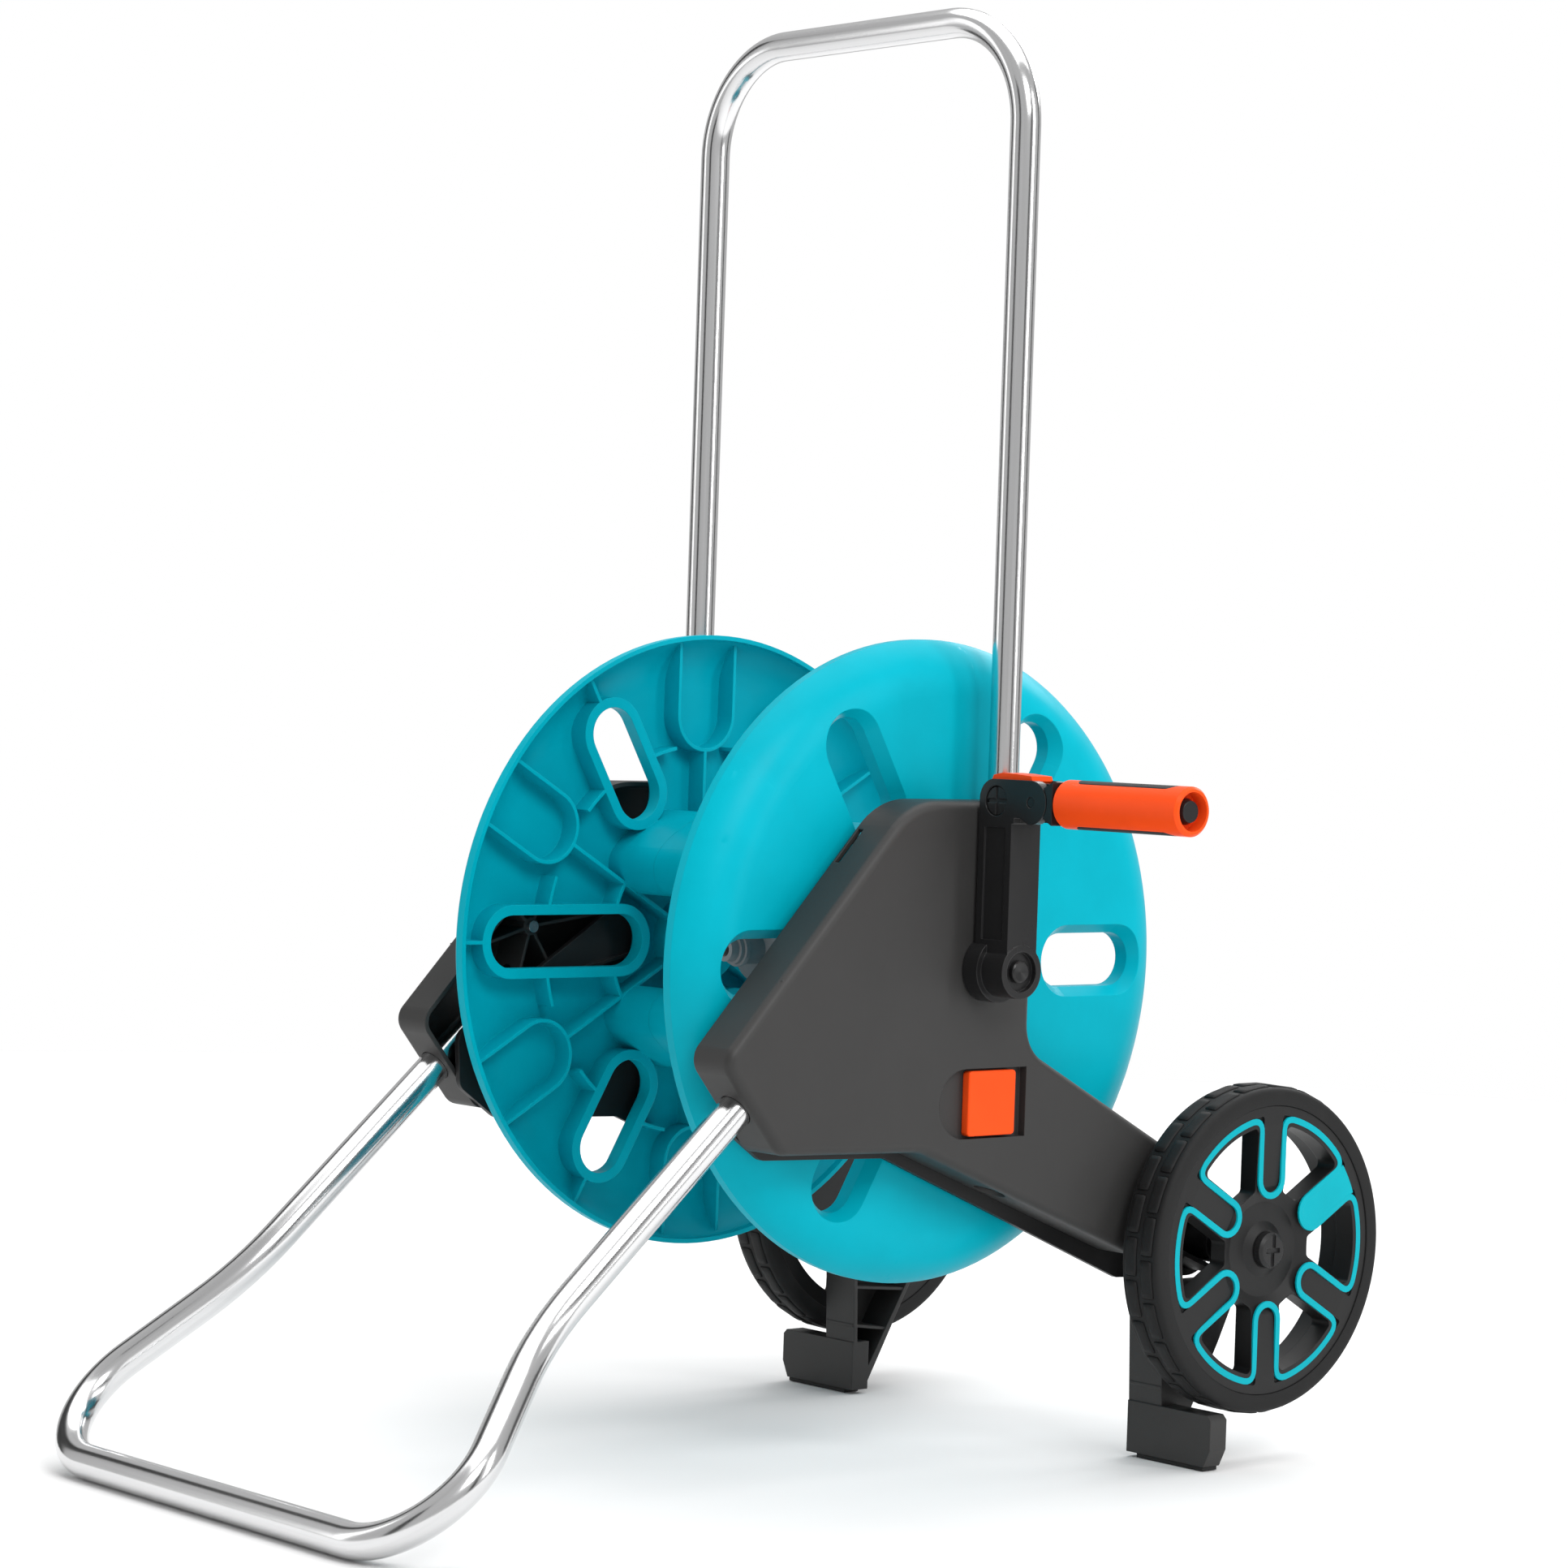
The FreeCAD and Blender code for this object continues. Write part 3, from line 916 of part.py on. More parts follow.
rim_face = value(half) - 1
groove = doc.addObject("Part::Feature", "inlay_groove")
groove.Shape = inlay_solid(value("dims.inlay_width") + 0.3, value("dims.inlay_depth") + 2, rim_face + 2)
station(groove, WHEEL)
grooved_rim = doc.addObject("Part::Cut", "right_wheel_rim")
grooved_rim.Base = rim
grooved_rim.Tool = groove
keep(grooved_rim, "right_wheel_rim")
mirrored(grooved_rim, "left_wheel_rim")
inlay = doc.addObject("Part::Feature", "right_wheel_inlay")
inlay.Shape = inlay_solid(value("dims.inlay_width"), value("dims.inlay_depth") - 0.1, rim_face + 0.1)
station(inlay, WHEEL)
keep(inlay, "right_wheel_inlay")
mirrored(inlay, "left_wheel_inlay")

# Wheel clip: the round split cap that holds the wheel on its axle.
clip = new_body("right_wheel_clip", WHEEL)
clip_in = half + " - 3.7"
turn(clip, "clip_cap", [(clip_in, axle_r + " + 0.25"), (clip_in, "dims.clip_radius"), (half + " + 0.6", "dims.clip_radius"),
                        (half + " + 2.2", "dims.clip_radius - 2"), (half + " + 2.2", "0"), (half + " - 1", "0"),
                        (half + " - 1", axle_r + " + 0.25")])
extrude(clip, "clip_slot", "x", half + " + 0.8", "5", [
    ("-2.2", "-dims.clip_radius - 1"), ("1.2", "-dims.clip_radius - 1"), ("1.2", "-1.5"), ("6", "-1.5"), ("6", "1.5"),
    ("2.2", "1.5"), ("2.2", "dims.clip_radius + 1"), ("-1.2", "dims.clip_radius + 1"), ("-1.2", "1.5"), ("-6", "1.5"),
    ("-6", "-1.5"), ("-2.2", "-1.5")], cut=True)
keep(clip, "right_wheel_clip")
mirrored(clip, "left_wheel_clip")

# Cover screw: a pan head on the drum side and a shank in the cover's boss.
screw = new_body("right_cover_screw", GROUND)
extrude(screw, "screw_head", "x", "dims.cover_inner_x - 1.5", "2.8", circles=[(boss, "1.8 * dims.screw_radius")])
extrude(screw, "screw_shank", "x", "dims.cover_inner_x + 1", "14", circles=[(boss, "dims.screw_radius - 0.45")])
keep(screw, "right_cover_screw")
mirrored(screw, "left_cover_screw")

# Crank arm: hub boss on the shaft, a box-section arm upwards and a forked head with two cheeks.
arm = new_body("crank_arm", DRUM)
arm_in, arm_out = "dims.arm_inner_x", "(dims.arm_inner_x + dims.arm_width)"
arm_half = "dims.arm_half_depth"
extrude(arm, "arm_box", "x", arm_in, "dims.arm_width", [
    ("-" + arm_half, "0"), (arm_half, "0"), (arm_half, "dims.arm_length + dims.stub_radius"),
    ("-" + arm_half, "dims.arm_length + dims.stub_radius")])
arm_mid = "(dims.arm_inner_x + dims.arm_width / 2)"
extrude(arm, "hub_boss", "x", arm_in + " + 0.5", "dims.arm_width - 0.5 + dims.pivot_gap / 2",
        circles=[(("0", "0"), "dims.hub_end_radius")])
extrude(arm, "hub_base", "x", "dims.cover_outer_x + 0.5", "12", circles=[(("0", "0"), "dims.hub_boss_radius")])
pivot = (PIVOT_X, "dims.arm_length")
extrude(arm, "head_stub", "y", "-" + arm_half, "2 * " + arm_half, [
    (arm_out + " - 6", "dims.arm_length - dims.stub_radius"), (PIVOT_X, "dims.arm_length - dims.stub_radius"),
    (PIVOT_X, "dims.arm_length + dims.stub_radius"), (arm_out + " - 6", "dims.arm_length + dims.stub_radius")],
    {1: (PIVOT_X, "dims.arm_length", 1)})
top_z = value("dims.arm_length + dims.stub_radius")
head_in = value(arm_in)
round_edges(arm, "head_round", lambda edge: all(
    abs(v.Point.x - head_in) < 0.01 and abs(v.Point.z - top_z) < 0.01 for v in edge.Vertexes), "11.5")
tongue_gap = "(dims.tongue_half + 0.3)"
extrude(arm, "fork_slot", "y", "-" + tongue_gap, "2 * " + tongue_gap, [
    (PIVOT_X + " - dims.stub_radius - 1.5", "dims.arm_length - dims.stub_radius - 1"),
    (PIVOT_X + " + dims.stub_radius + 1", "dims.arm_length - dims.stub_radius - 1"),
    (PIVOT_X + " + dims.stub_radius + 1", "dims.arm_length + dims.stub_radius + 1"),
    (PIVOT_X + " - dims.stub_radius - 1.5", "dims.arm_length + dims.stub_radius + 1")], cut=True)
fold_room = "dims.arm_length - dims.stub_radius"
extrude(arm, "fold_relief", "y", "-%s - 1" % arm_half, "2 * %s + 2" % arm_half, [
    (PIVOT_X + " - 13", fold_room + " - 1.4"), (PIVOT_X + " - 1", fold_room + " - 1.4"),
    (PIVOT_X + " - 1", fold_room + " - 0.2"), (PIVOT_X + " - 8.3", fold_room + " + 3.4"),
    (PIVOT_X + " - 13", fold_room + " + 3.4")], cut=True)
extrude(arm, "latch_slot", "y", "-4.6", "9.2", [
    (arm_mid + " - 7", "dims.arm_length - 7"), (arm_out + " - 0.5", "dims.arm_length - 7"),
    (arm_out + " + 4", "dims.arm_length + 6"), (arm_out + " + 4", "dims.arm_length + dims.stub_radius + 3"),
    (arm_mid + " - 9", "dims.arm_length + dims.stub_radius + 3"), (arm_mid + " - 9", "dims.arm_length")], cut=True)
extrude(arm, "latch_seat", "y", "-8.6", "17.2", [
    (arm_mid + " - 9.5", "dims.arm_length + dims.stub_radius - 4.6"),
    (PIVOT_X + " - 1", "dims.arm_length + dims.stub_radius - 4.6"),
    (PIVOT_X + " - 1", "dims.arm_length + dims.stub_radius + 8"),
    (arm_mid + " - 9.5", "dims.arm_length + dims.stub_radius + 8")], cut=True)
extrude(arm, "front_panel", "y", "-%s - 1" % arm_half, "2.0", [
    (arm_in + " + 5", "18"), (arm_out + " - 5", "18"), (arm_out + " - 5", "dims.arm_length - 15"),
    (arm_in + " + 5", "dims.arm_length - 15")], cut=True)
extrude(arm, "pin_bore", "y", "-%s - 1" % arm_half, "2 * %s + 2" % arm_half,
        circles=[((arm_mid, "dims.arm_length"), "dims.pin_radius + dims.running_gap")], cut=True)
extrude(arm, "pin_well", "y", "-%s - 1" % arm_half, "3.4",
        circles=[((arm_mid, "dims.arm_length"), "8.7")], cut=True)
extrude(arm, "fold_bore", "y", "-%s - 1" % arm_half, "2 * %s + 2" % arm_half,
        circles=[(pivot, "dims.pin_radius + dims.running_gap")], cut=True)
extrude(arm, "shaft_socket", "x", "dims.cover_outer_x - 2", "dims.shaft_end_right + 0.3 - dims.cover_outer_x + 2",
        circles=[(("0", "0"), "dims.shaft_radius + dims.fixed_gap")], cut=True)
extrude(arm, "plug_well", "x", arm_out + " - 3", "12", circles=[(("0", "0"), "11.6")], cut=True)
keep(arm, "crank_arm")

# Hub plug: the round cap in the crank's hub, level with the boss so that the folded grip passes it.
plug_face = "(%s + dims.pivot_gap / 2)" % arm_out
turned_piece("crank_hub_plug", DRUM, [
    (arm_out + " - 2.8", "0"), (plug_face + " - 0.8", "0"), (plug_face, "5.5"), (plug_face + " - 0.8", "6.6"),
    (arm_out + " - 2.8", "6.6")])

# Latch: an orange rocker over the crank's head, turning on the head pin, with a web down to the pin.
latch = new_body("crank_latch", CRANK_HEAD)
seat_z = "(dims.stub_radius - 2.3)"
extrude(latch, "latch_cap", "y", "-8.2", "16.4", [
    (arm_mid + " - 7.5", seat_z + " + 1.6"), (arm_mid + " - 3", seat_z + " + 0.3"), (PIVOT_X + " - 4", seat_z + " + 0.3"),
    (PIVOT_X + " - 2.4", seat_z + " + 2"), (PIVOT_X + " - 3.4", seat_z + " + 4.8"), (arm_out + " - 3", seat_z + " + 5.8"),
    (arm_mid + " + 1", seat_z + " + 6"), (arm_mid + " - 6", seat_z + " + 4.6")])
extrude(latch, "latch_web", "y", "-4.2", "8.4", [
    (arm_mid + " - 5.8", "0"), (arm_mid + " + 5.8", "0"), (arm_mid + " + 5.8", seat_z + " + 1"),
    (arm_mid + " - 5.8", seat_z + " + 1")], {0: (arm_mid, "0", 1)})
extrude(latch, "latch_bore", "y", "-10", "20", cut=True,
        circles=[((arm_mid, "0"), "dims.pin_radius + dims.running_gap")])
keep(latch, "crank_latch")

# Pins across the head: the four-pronged latch pin and the plain fold pin.
latch_pin = new_body("latch_pin", CRANK_HEAD)
extrude(latch_pin, "pin_rod", "y", "-%s + 0.8" % arm_half, "2 * %s - 1.4" % arm_half, circles=[((arm_mid, "0"), "dims.pin_radius")])
extrude(latch_pin, "pin_head", "y", "-%s + 0.8" % arm_half, "1.4", circles=[((arm_mid, "0"), "8.2")])
for number, (wide, tall) in enumerate((("9", "1.1"), ("1.1", "9"))):
    extrude(latch_pin, "prong_gap_%d" % number, "y", "-%s + 0.7" % arm_half, "0.9", [
        ("%s - %s" % (arm_mid, wide), "-" + tall), ("%s + %s" % (arm_mid, wide), "-" + tall),
        ("%s + %s" % (arm_mid, wide), tall), ("%s - %s" % (arm_mid, wide), tall)], cut=True)
keep(latch_pin, "latch_pin")
fold_pin = new_body("fold_pin", GRIP)
extrude(fold_pin, "fold_rod", "y", "-%s + 0.5" % arm_half, "2 * %s - 1" % arm_half, circles=[(("0", "0"), "dims.pin_radius")])
keep(fold_pin, "fold_pin")

# Latch spring: a small coil that lifts the latch's nose, standing in the head below it.
latch_spring = new_body("latch_spring", (CRANK_HEAD[0] + " + " + arm_out, CRANK_HEAD[1], CRANK_HEAD[2] + " + 4.4"))
lift_sketch = new_sketch(latch_spring, "lift_sketch", "y")
draw_circle(lift_sketch, ("1.8", "0.35"), "0.3")
lift = latch_spring.newObject("PartDesign::AdditiveHelix", "lift_coil")
lift.Profile = lift_sketch
lift.ReferenceAxis = (lift_sketch, ["V_Axis"])
lift.Mode = "height-turns-angle"
lift.setExpression("Height", "dims.stub_radius - 2.3 - 4.4 - 0.6")
lift.Turns = 3
keep(latch_spring, "latch_spring")

# Grip neck: the folding tongue, the black shoulder behind it and the spindle that the grip turns on.
neck = new_body("grip_neck", GRIP)
shoulder = "(dims.stub_radius + 0.7)"
extrude(neck, "tongue", "y", "-dims.tongue_half", "2 * dims.tongue_half", [
    ("0", "-dims.stub_radius + 1.5"), (shoulder + " + 2", "-dims.stub_radius + 1.5"),
    (shoulder + " + 2", "dims.stub_radius - 1.5"), ("0", "dims.stub_radius - 1.5")],
    {3: ("0", "0", 1)})
extrude(neck, "shoulder_block", "y", "-" + arm_half, "2 * " + arm_half, [
    (shoulder + " * cos(40)", "-%s * sin(40)" % shoulder), ("dims.neck_reach", "-dims.stub_radius + 0.2"),
    ("dims.neck_reach", "dims.stub_radius - 0.2"), (shoulder + " * cos(40)", "%s * sin(40)" % shoulder)],
    {3: ("0", "0", -1)})
turn(neck, "spindle", [("dims.neck_reach - 1", "0"), (GRIP_X + " + dims.grip_length - 6", "0"),
                       (GRIP_X + " + dims.grip_length - 6", "5"), ("dims.neck_reach - 1", "5")])
extrude(neck, "fold_bore_neck", "y", "-20", "40", circles=[(("0", "0"), "dims.pin_radius + dims.running_gap")], cut=True)
keep(neck, "grip_neck")

# Grip: an orange turning sleeve with two soft inlays, and the snap cap on the spindle's end.
grip = new_body("crank_grip", GRIP)
grip_end = "(%s + dims.grip_length)" % GRIP_X
turn(grip, "grip_sleeve", [
    (GRIP_X, "5 + dims.running_gap"), (GRIP_X, "dims.grip_radius - 3"), (GRIP_X + " + 3", "dims.grip_radius"),
    (grip_end + " - 1.5", "dims.grip_radius"), (grip_end, "dims.grip_radius - 1.5"), (grip_end, "dims.grip_radius - 3"),
    (grip_end + " - 9", "dims.grip_radius - 3"), (grip_end + " - 9", "5 + dims.running_gap")])
inlay_from, inlay_to = GRIP_X + " + 12", grip_end + " - 10"
pocket_points, pocket_arcs = stadium(inlay_from, inlay_to, "7.5")
for name, start in (("top", "dims.grip_radius - 2"), ("bottom", "-dims.grip_radius - 4")):
    extrude(grip, "inlay_pocket_" + name, "z", start, "6", pocket_points, pocket_arcs, cut=True)
keep(grip, "crank_grip")
soft_solids = []
for name, sign in (("top", ""), ("bottom", "-")):
    core_body = new_body("soft_core_" + name, GRIP)
    turn(core_body, "soft_core_turn_" + name, [(inlay_from, "0"), (inlay_to, "0"), (inlay_to, "dims.grip_radius"),
                                               (inlay_from, "dims.grip_radius")])
    keep_points, keep_arcs = stadium(inlay_from + " + 0.1", inlay_to + " - 0.1", "7.4")
    trim_body = new_body("soft_keep_" + name, GRIP)
    floor_start = "dims.grip_radius - 1.9" if sign == "" else "-dims.grip_radius - 4"
    extrude(trim_body, "soft_keep_pad_" + name, "z", floor_start, "5.9", keep_points, keep_arcs)
    half_soft = doc.addObject("Part::MultiCommon", "soft_half_" + name)
    half_soft.Shapes = [core_body, trim_body]
    soft_solids.append(half_soft)
soft_pair = doc.addObject("Part::Compound", "grip_inlays")
soft_pair.Links = soft_solids
keep(soft_pair, "grip_inlays")
turned_piece("grip_snap", GRIP, [
    (grip_end + " - 5.9", "0"), (grip_end + " - 2", "0"), (grip_end + " - 2", "6"), (grip_end + " - 5.9", "7.5")])

doc.recompute()
for item in doc.Objects:
    if "Invalid" in item.State or "Error" in item.State:
        raise RuntimeError("failed feature: %s %s" % (item.Name, item.State))
    if item.TypeId in ("PartDesign::Pocket", "PartDesign::Groove"):
        if item.Shape.Volume > item.BaseFeature.Shape.Volume - 0.01:
            raise RuntimeError("cut removes nothing: %s" % item.Name)
for piece in nodes:
    if piece.Shape.isNull() or not piece.Shape.isValid():
        raise RuntimeError("bad shape: %s" % piece.Label)

os.makedirs("parts", exist_ok=True)
for piece in nodes:
    piece.Shape.exportStep("parts/%s.step" % piece.Label)
print("%d nodes written" % len(nodes))
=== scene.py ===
"""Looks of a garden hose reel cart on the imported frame: finishes, tyres, tubes, trim, studio, camera."""

import json
import logging
import math
from dataclasses import dataclass, field
from enum import Enum
from typing import Any, Optional, Sequence, Union

import bmesh
import bpy
from mathutils import Matrix, Vector

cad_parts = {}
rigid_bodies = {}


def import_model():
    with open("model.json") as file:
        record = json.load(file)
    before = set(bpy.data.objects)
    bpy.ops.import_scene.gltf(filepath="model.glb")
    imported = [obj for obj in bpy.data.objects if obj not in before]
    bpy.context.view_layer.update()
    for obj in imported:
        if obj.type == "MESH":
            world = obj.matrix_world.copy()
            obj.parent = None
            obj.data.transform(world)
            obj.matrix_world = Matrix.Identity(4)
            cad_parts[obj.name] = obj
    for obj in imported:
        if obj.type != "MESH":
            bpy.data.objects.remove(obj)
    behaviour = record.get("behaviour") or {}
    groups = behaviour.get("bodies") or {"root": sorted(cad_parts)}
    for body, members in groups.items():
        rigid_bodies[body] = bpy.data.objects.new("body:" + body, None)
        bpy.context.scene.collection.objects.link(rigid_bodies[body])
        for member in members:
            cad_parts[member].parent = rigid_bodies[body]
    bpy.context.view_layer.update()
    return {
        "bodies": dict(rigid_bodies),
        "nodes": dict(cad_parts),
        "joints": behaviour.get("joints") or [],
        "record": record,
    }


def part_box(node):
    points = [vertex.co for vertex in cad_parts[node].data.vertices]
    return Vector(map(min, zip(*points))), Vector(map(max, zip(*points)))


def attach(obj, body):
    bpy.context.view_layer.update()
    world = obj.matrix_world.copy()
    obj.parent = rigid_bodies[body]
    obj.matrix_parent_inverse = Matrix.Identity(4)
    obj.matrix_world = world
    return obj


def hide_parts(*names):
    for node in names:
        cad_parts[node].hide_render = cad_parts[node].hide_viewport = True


log = logging.getLogger("hose_cart")
Colour = tuple[float, float, float]
Point = tuple[float, float, float]


class Slot(Enum):
    """Material slots of the record, by name; no piece in this script takes its finish from them."""

    TYRE = "tyre_black"
    TUBE = "polished_tube"
    INLET = "inlet_black"
    INLAY = "rim_inlay"


class Side(Enum):
    """The two sides of the cart, with the sign of X that points outwards."""

    RIGHT = 1
    LEFT = -1

    @property
    def word(self) -> str:
        """Name of the side as the frame's nodes have it."""
        return self.name.lower()


class Signal:
    """A value socket of a shader that takes part in Python expressions."""

    def __init__(self, sheet: "ShaderSheet", socket: bpy.types.NodeSocket) -> None:
        """Hold the socket and the sheet that it belongs to.

        Args:
            sheet: The sheet that adds the maths nodes.
            socket: The output socket that gives the value.
        """
        self.sheet = sheet
        self.socket = socket

    def _join(self, operation: str, first: "Value", second: "Value") -> "Signal":
        """Add one Math node.

        Args:
            operation: The Math node's operation.
            first: The left value.
            second: The right value.

        Returns:
            The signal of the node's result.
        """
        node = self.sheet.node("ShaderNodeMath", {"operation": operation}, {0: first, 1: second})
        return Signal(self.sheet, node.outputs[0])

    def __add__(self, other: "Value") -> "Signal":
        """Give self + other."""
        return self._join("ADD", self, other)

    def __radd__(self, other: "Value") -> "Signal":
        """Give other + self."""
        return self._join("ADD", other, self)

    def __sub__(self, other: "Value") -> "Signal":
        """Give self - other."""
        return self._join("SUBTRACT", self, other)

    def __rsub__(self, other: "Value") -> "Signal":
        """Give other - self."""
        return self._join("SUBTRACT", other, self)

    def __mul__(self, other: "Value") -> "Signal":
        """Give self * other."""
        return self._join("MULTIPLY", self, other)

    def __rmul__(self, other: "Value") -> "Signal":
        """Give other * self."""
        return self._join("MULTIPLY", other, self)

    def ramp(self, low: float, high: float) -> "Signal":
        """Turn a range into a smooth step from 0 to 1.

        Args:
            low: The value that becomes 0.
            high: The value that becomes 1.

        Returns:
            The smooth step.
        """
        node = self.sheet.node("ShaderNodeMapRange", {"interpolation_type": "SMOOTHSTEP"},
                               {"Value": self, "From Min": low, "From Max": high})
        return Signal(self.sheet, node.outputs["Result"])


Value = Union[float, Signal]


class NodeSheet:
    """A node tree that is written node by node."""

    tree: bpy.types.NodeTree

    def fill(self, node: bpy.types.Node, key: Union[int, str], given: Any) -> None:
        """Link a signal or a socket to a node's input, or set a plain value on it.

        Args:
            node: The node with the input.
            key: The input's name or number.
            given: The value, signal or socket.
        """
        source = given.socket if isinstance(given, Signal) else given
        if isinstance(source, bpy.types.NodeSocket):
            self.tree.links.new(source, node.inputs[key])
        else:
            node.inputs[key].default_value = source

    def node(self, kind: str, settings: Optional[dict[str, Any]] = None,
             inputs: Optional[dict[Any, Any]] = None) -> bpy.types.Node:
        """Add any node, apply its settings first and then fill its sockets.

        Args:
            kind: The node's type.
            settings: Properties of the node, such as an operation.
            inputs: Values, signals or sockets by input name or number.

        Returns:
            The new node.
        """
        made = self.tree.nodes.new(kind)
        for key, setting in (settings or {}).items():
            setattr(made, key, setting)
        for key, given in (inputs or {}).items():
            self.fill(made, key, given)
        return made


class ShaderSheet(NodeSheet):
    """The node tree of one material, with a shader at its end."""

    def __init__(self, name: str) -> None:
        """Start an empty material.

        Args:
            name: The material's name.
        """
        self.material = bpy.data.materials.new(name)
        self.material.use_nodes = True
        self.tree = self.material.node_tree
        self.tree.nodes.clear()
        self.shader = self.node("ShaderNodeBsdfPrincipled")
        self.node("ShaderNodeOutputMaterial", None, {"Surface": self.shader.outputs[0]})

    def place(self, scale: Point = (1.0, 1.0, 1.0)) -> bpy.types.NodeSocket:
        """Give object coordinates stretched for a pattern.

        Args:
            scale: Factors along the three axes.

        Returns:
            The vector socket.
        """
        coordinates = self.node("ShaderNodeTexCoord")
        mapping = self.node("ShaderNodeMapping", None, {"Vector": coordinates.outputs["Object"]})
        mapping.inputs["Scale"].default_value = scale
        return mapping.outputs[0]

    def uv(self, scale: Point) -> bpy.types.NodeSocket:
        """Give the piece's own UV map, stretched for a pattern."""
        source = self.node("ShaderNodeUVMap", {"uv_map": "along"})
        mapping = self.node("ShaderNodeMapping", None, {"Vector": source.outputs[0]})
        mapping.inputs["Scale"].default_value = scale
        return mapping.outputs[0]

    def noise(self, vector: bpy.types.NodeSocket, scale: float, detail: float = 3.0,
              rough: float = 0.5) -> Signal:
        """Add a noise pattern.

        Args:
            vector: The coordinates it reads.
            scale: Its scale per metre of those coordinates.
            detail: Its octaves.
            rough: How strong the small octaves are.

        Returns:
            The noise value around 0.5.
        """
        made = self.node("ShaderNodeTexNoise", {"noise_dimensions": "3D"},
                         {"Vector": vector, "Scale": scale, "Detail": detail, "Roughness": rough})
        return Signal(self, made.outputs[0])

    def cells(self, vector: bpy.types.NodeSocket, scale: float) -> Signal:
        """Add a cell pattern and give the distance to the nearest cell's middle."""
        made = self.node("ShaderNodeTexVoronoi", {"feature": "F1"}, {"Vector": vector, "Scale": scale})
        return Signal(self, made.outputs["Distance"])

    def mix(self, factor: Value, low: Any, high: Any) -> bpy.types.NodeSocket:
        """Mix two colours.

        Args:
            factor: 0 for the first colour and 1 for the second.
            low: The first colour, or its socket.
            high: The second colour, or its socket.

        Returns:
            The mixed colour's socket.
        """
        made = self.node("ShaderNodeMix", {"data_type": "RGBA"},
                         {0: factor, 6: opaque(low), 7: opaque(high)})
        return made.outputs[2]

    def soft_edge(self, radius: float) -> tuple[bpy.types.NodeSocket, Signal]:
        """Round the shading of sharp edges and find where those edges are.

        Args:
            radius: The rounding's radius in metres.

        Returns:
            The rounded normal, and a mask that is 1 on the edges.
        """
        rounded = self.node("ShaderNodeBevel", {"samples": 6}, {"Radius": radius})
        surface = self.node("ShaderNodeNewGeometry")
        product = self.node("ShaderNodeVectorMath", {"operation": "DOT_PRODUCT"},
                            {0: rounded.outputs[0], 1: surface.outputs["Normal"]})
        mask = 1.0 - Signal(self, product.outputs["Value"])
        return rounded.outputs[0], mask.ramp(0.02, 0.2)

    def bump(self, height: Signal, distance: float, strength: float,
             normal: Optional[bpy.types.NodeSocket] = None) -> bpy.types.NodeSocket:
        """Add relief.

        Args:
            height: The relief's height signal.
            distance: The relief's depth in metres.
            strength: How much of it shows.
            normal: The normal below the relief.

        Returns:
            The normal with the relief.
        """
        inputs = {"Height": height, "Distance": distance, "Strength": strength}
        if normal is not None:
            inputs["Normal"] = normal
        return self.node("ShaderNodeBump", None, inputs).outputs[0]

    def wire(self, **sockets: Any) -> None:
        """Fill the shader's sockets, with underscores in place of spaces in their names."""
        for key, given in sockets.items():
            self.fill(self.shader, key.replace("_", " "), given)


def opaque(colour: Any) -> Any:
    """Give a colour with its alpha, and leave a socket as it is."""
    if isinstance(colour, tuple) and len(colour) == 3:
        return (*colour, 1.0)
    return colour


def shade(colour: Colour, factor: float) -> Colour:
    """Give a colour made lighter or darker by a factor."""
    return tuple(min(1.0, channel * factor) for channel in colour)


@dataclass(frozen=True)
class MouldedPlastic:
    """Injection-moulded plastic: even colour, fine grain, soft edges that catch light with a painted
    highlight added on them, a little dust.
    """

    name: str
    colour: Colour
    roughness: float = 0.42
    grain_size: float = 0.0006
    grain_depth: float = 0.00002
    edge_radius: float = 0.0006
    edge_light: float = 1.25
    dust: float = 0.0
    gloss: float = 0.3
    cloud_scale: float = 14.0
    flow_scale: float = 60.0
    speck_scale: float = 900.0
    dark_tone: float = 0.93
    light_tone: float = 1.05
    edge_share: float = 0.55
    dust_colour: Colour = (0.42, 0.40, 0.37)
    dust_dulls: float = 0.3

    def make(self) -> bpy.types.Material:
        """Build the material.

        Returns:
            The finished material.
        """
        sheet = ShaderSheet(self.name)
        cloud = sheet.noise(sheet.place(), self.cloud_scale, 4.0, 0.6)
        flow = sheet.noise(sheet.place((1.0, 3.0, 0.6)), self.flow_scale, 2.0)
        grain = sheet.noise(sheet.place(), 1.0 / self.grain_size, 2.0, 0.7)
        rounded, edges = sheet.soft_edge(self.edge_radius)
        base = sheet.mix(cloud.ramp(0.25, 0.75), shade(self.colour, self.dark_tone),
                         shade(self.colour, self.light_tone))
        # Painted highlight: the edge mask mixes a paler copy of the colour onto every sharp edge, standing
        # in for light caught there.
        highlighted_base = sheet.mix(edges * self.edge_share, base, shade(self.colour, self.edge_light))
        specks = sheet.noise(sheet.place(), self.speck_scale, 4.0, 0.75).ramp(0.58, 0.72)
        settled = specks * cloud.ramp(0.35, 0.8) * self.dust
        sheet.wire(Base_Color=sheet.mix(settled, highlighted_base, self.dust_colour),
                   Roughness=((cloud - 0.5) * 0.10 + (flow - 0.5) * 0.06 + self.roughness
                              + settled * self.dust_dulls),
                   Normal=sheet.bump(grain, self.grain_depth, 0.5, rounded),
                   Specular_IOR_Level=self.gloss)
        return sheet.material


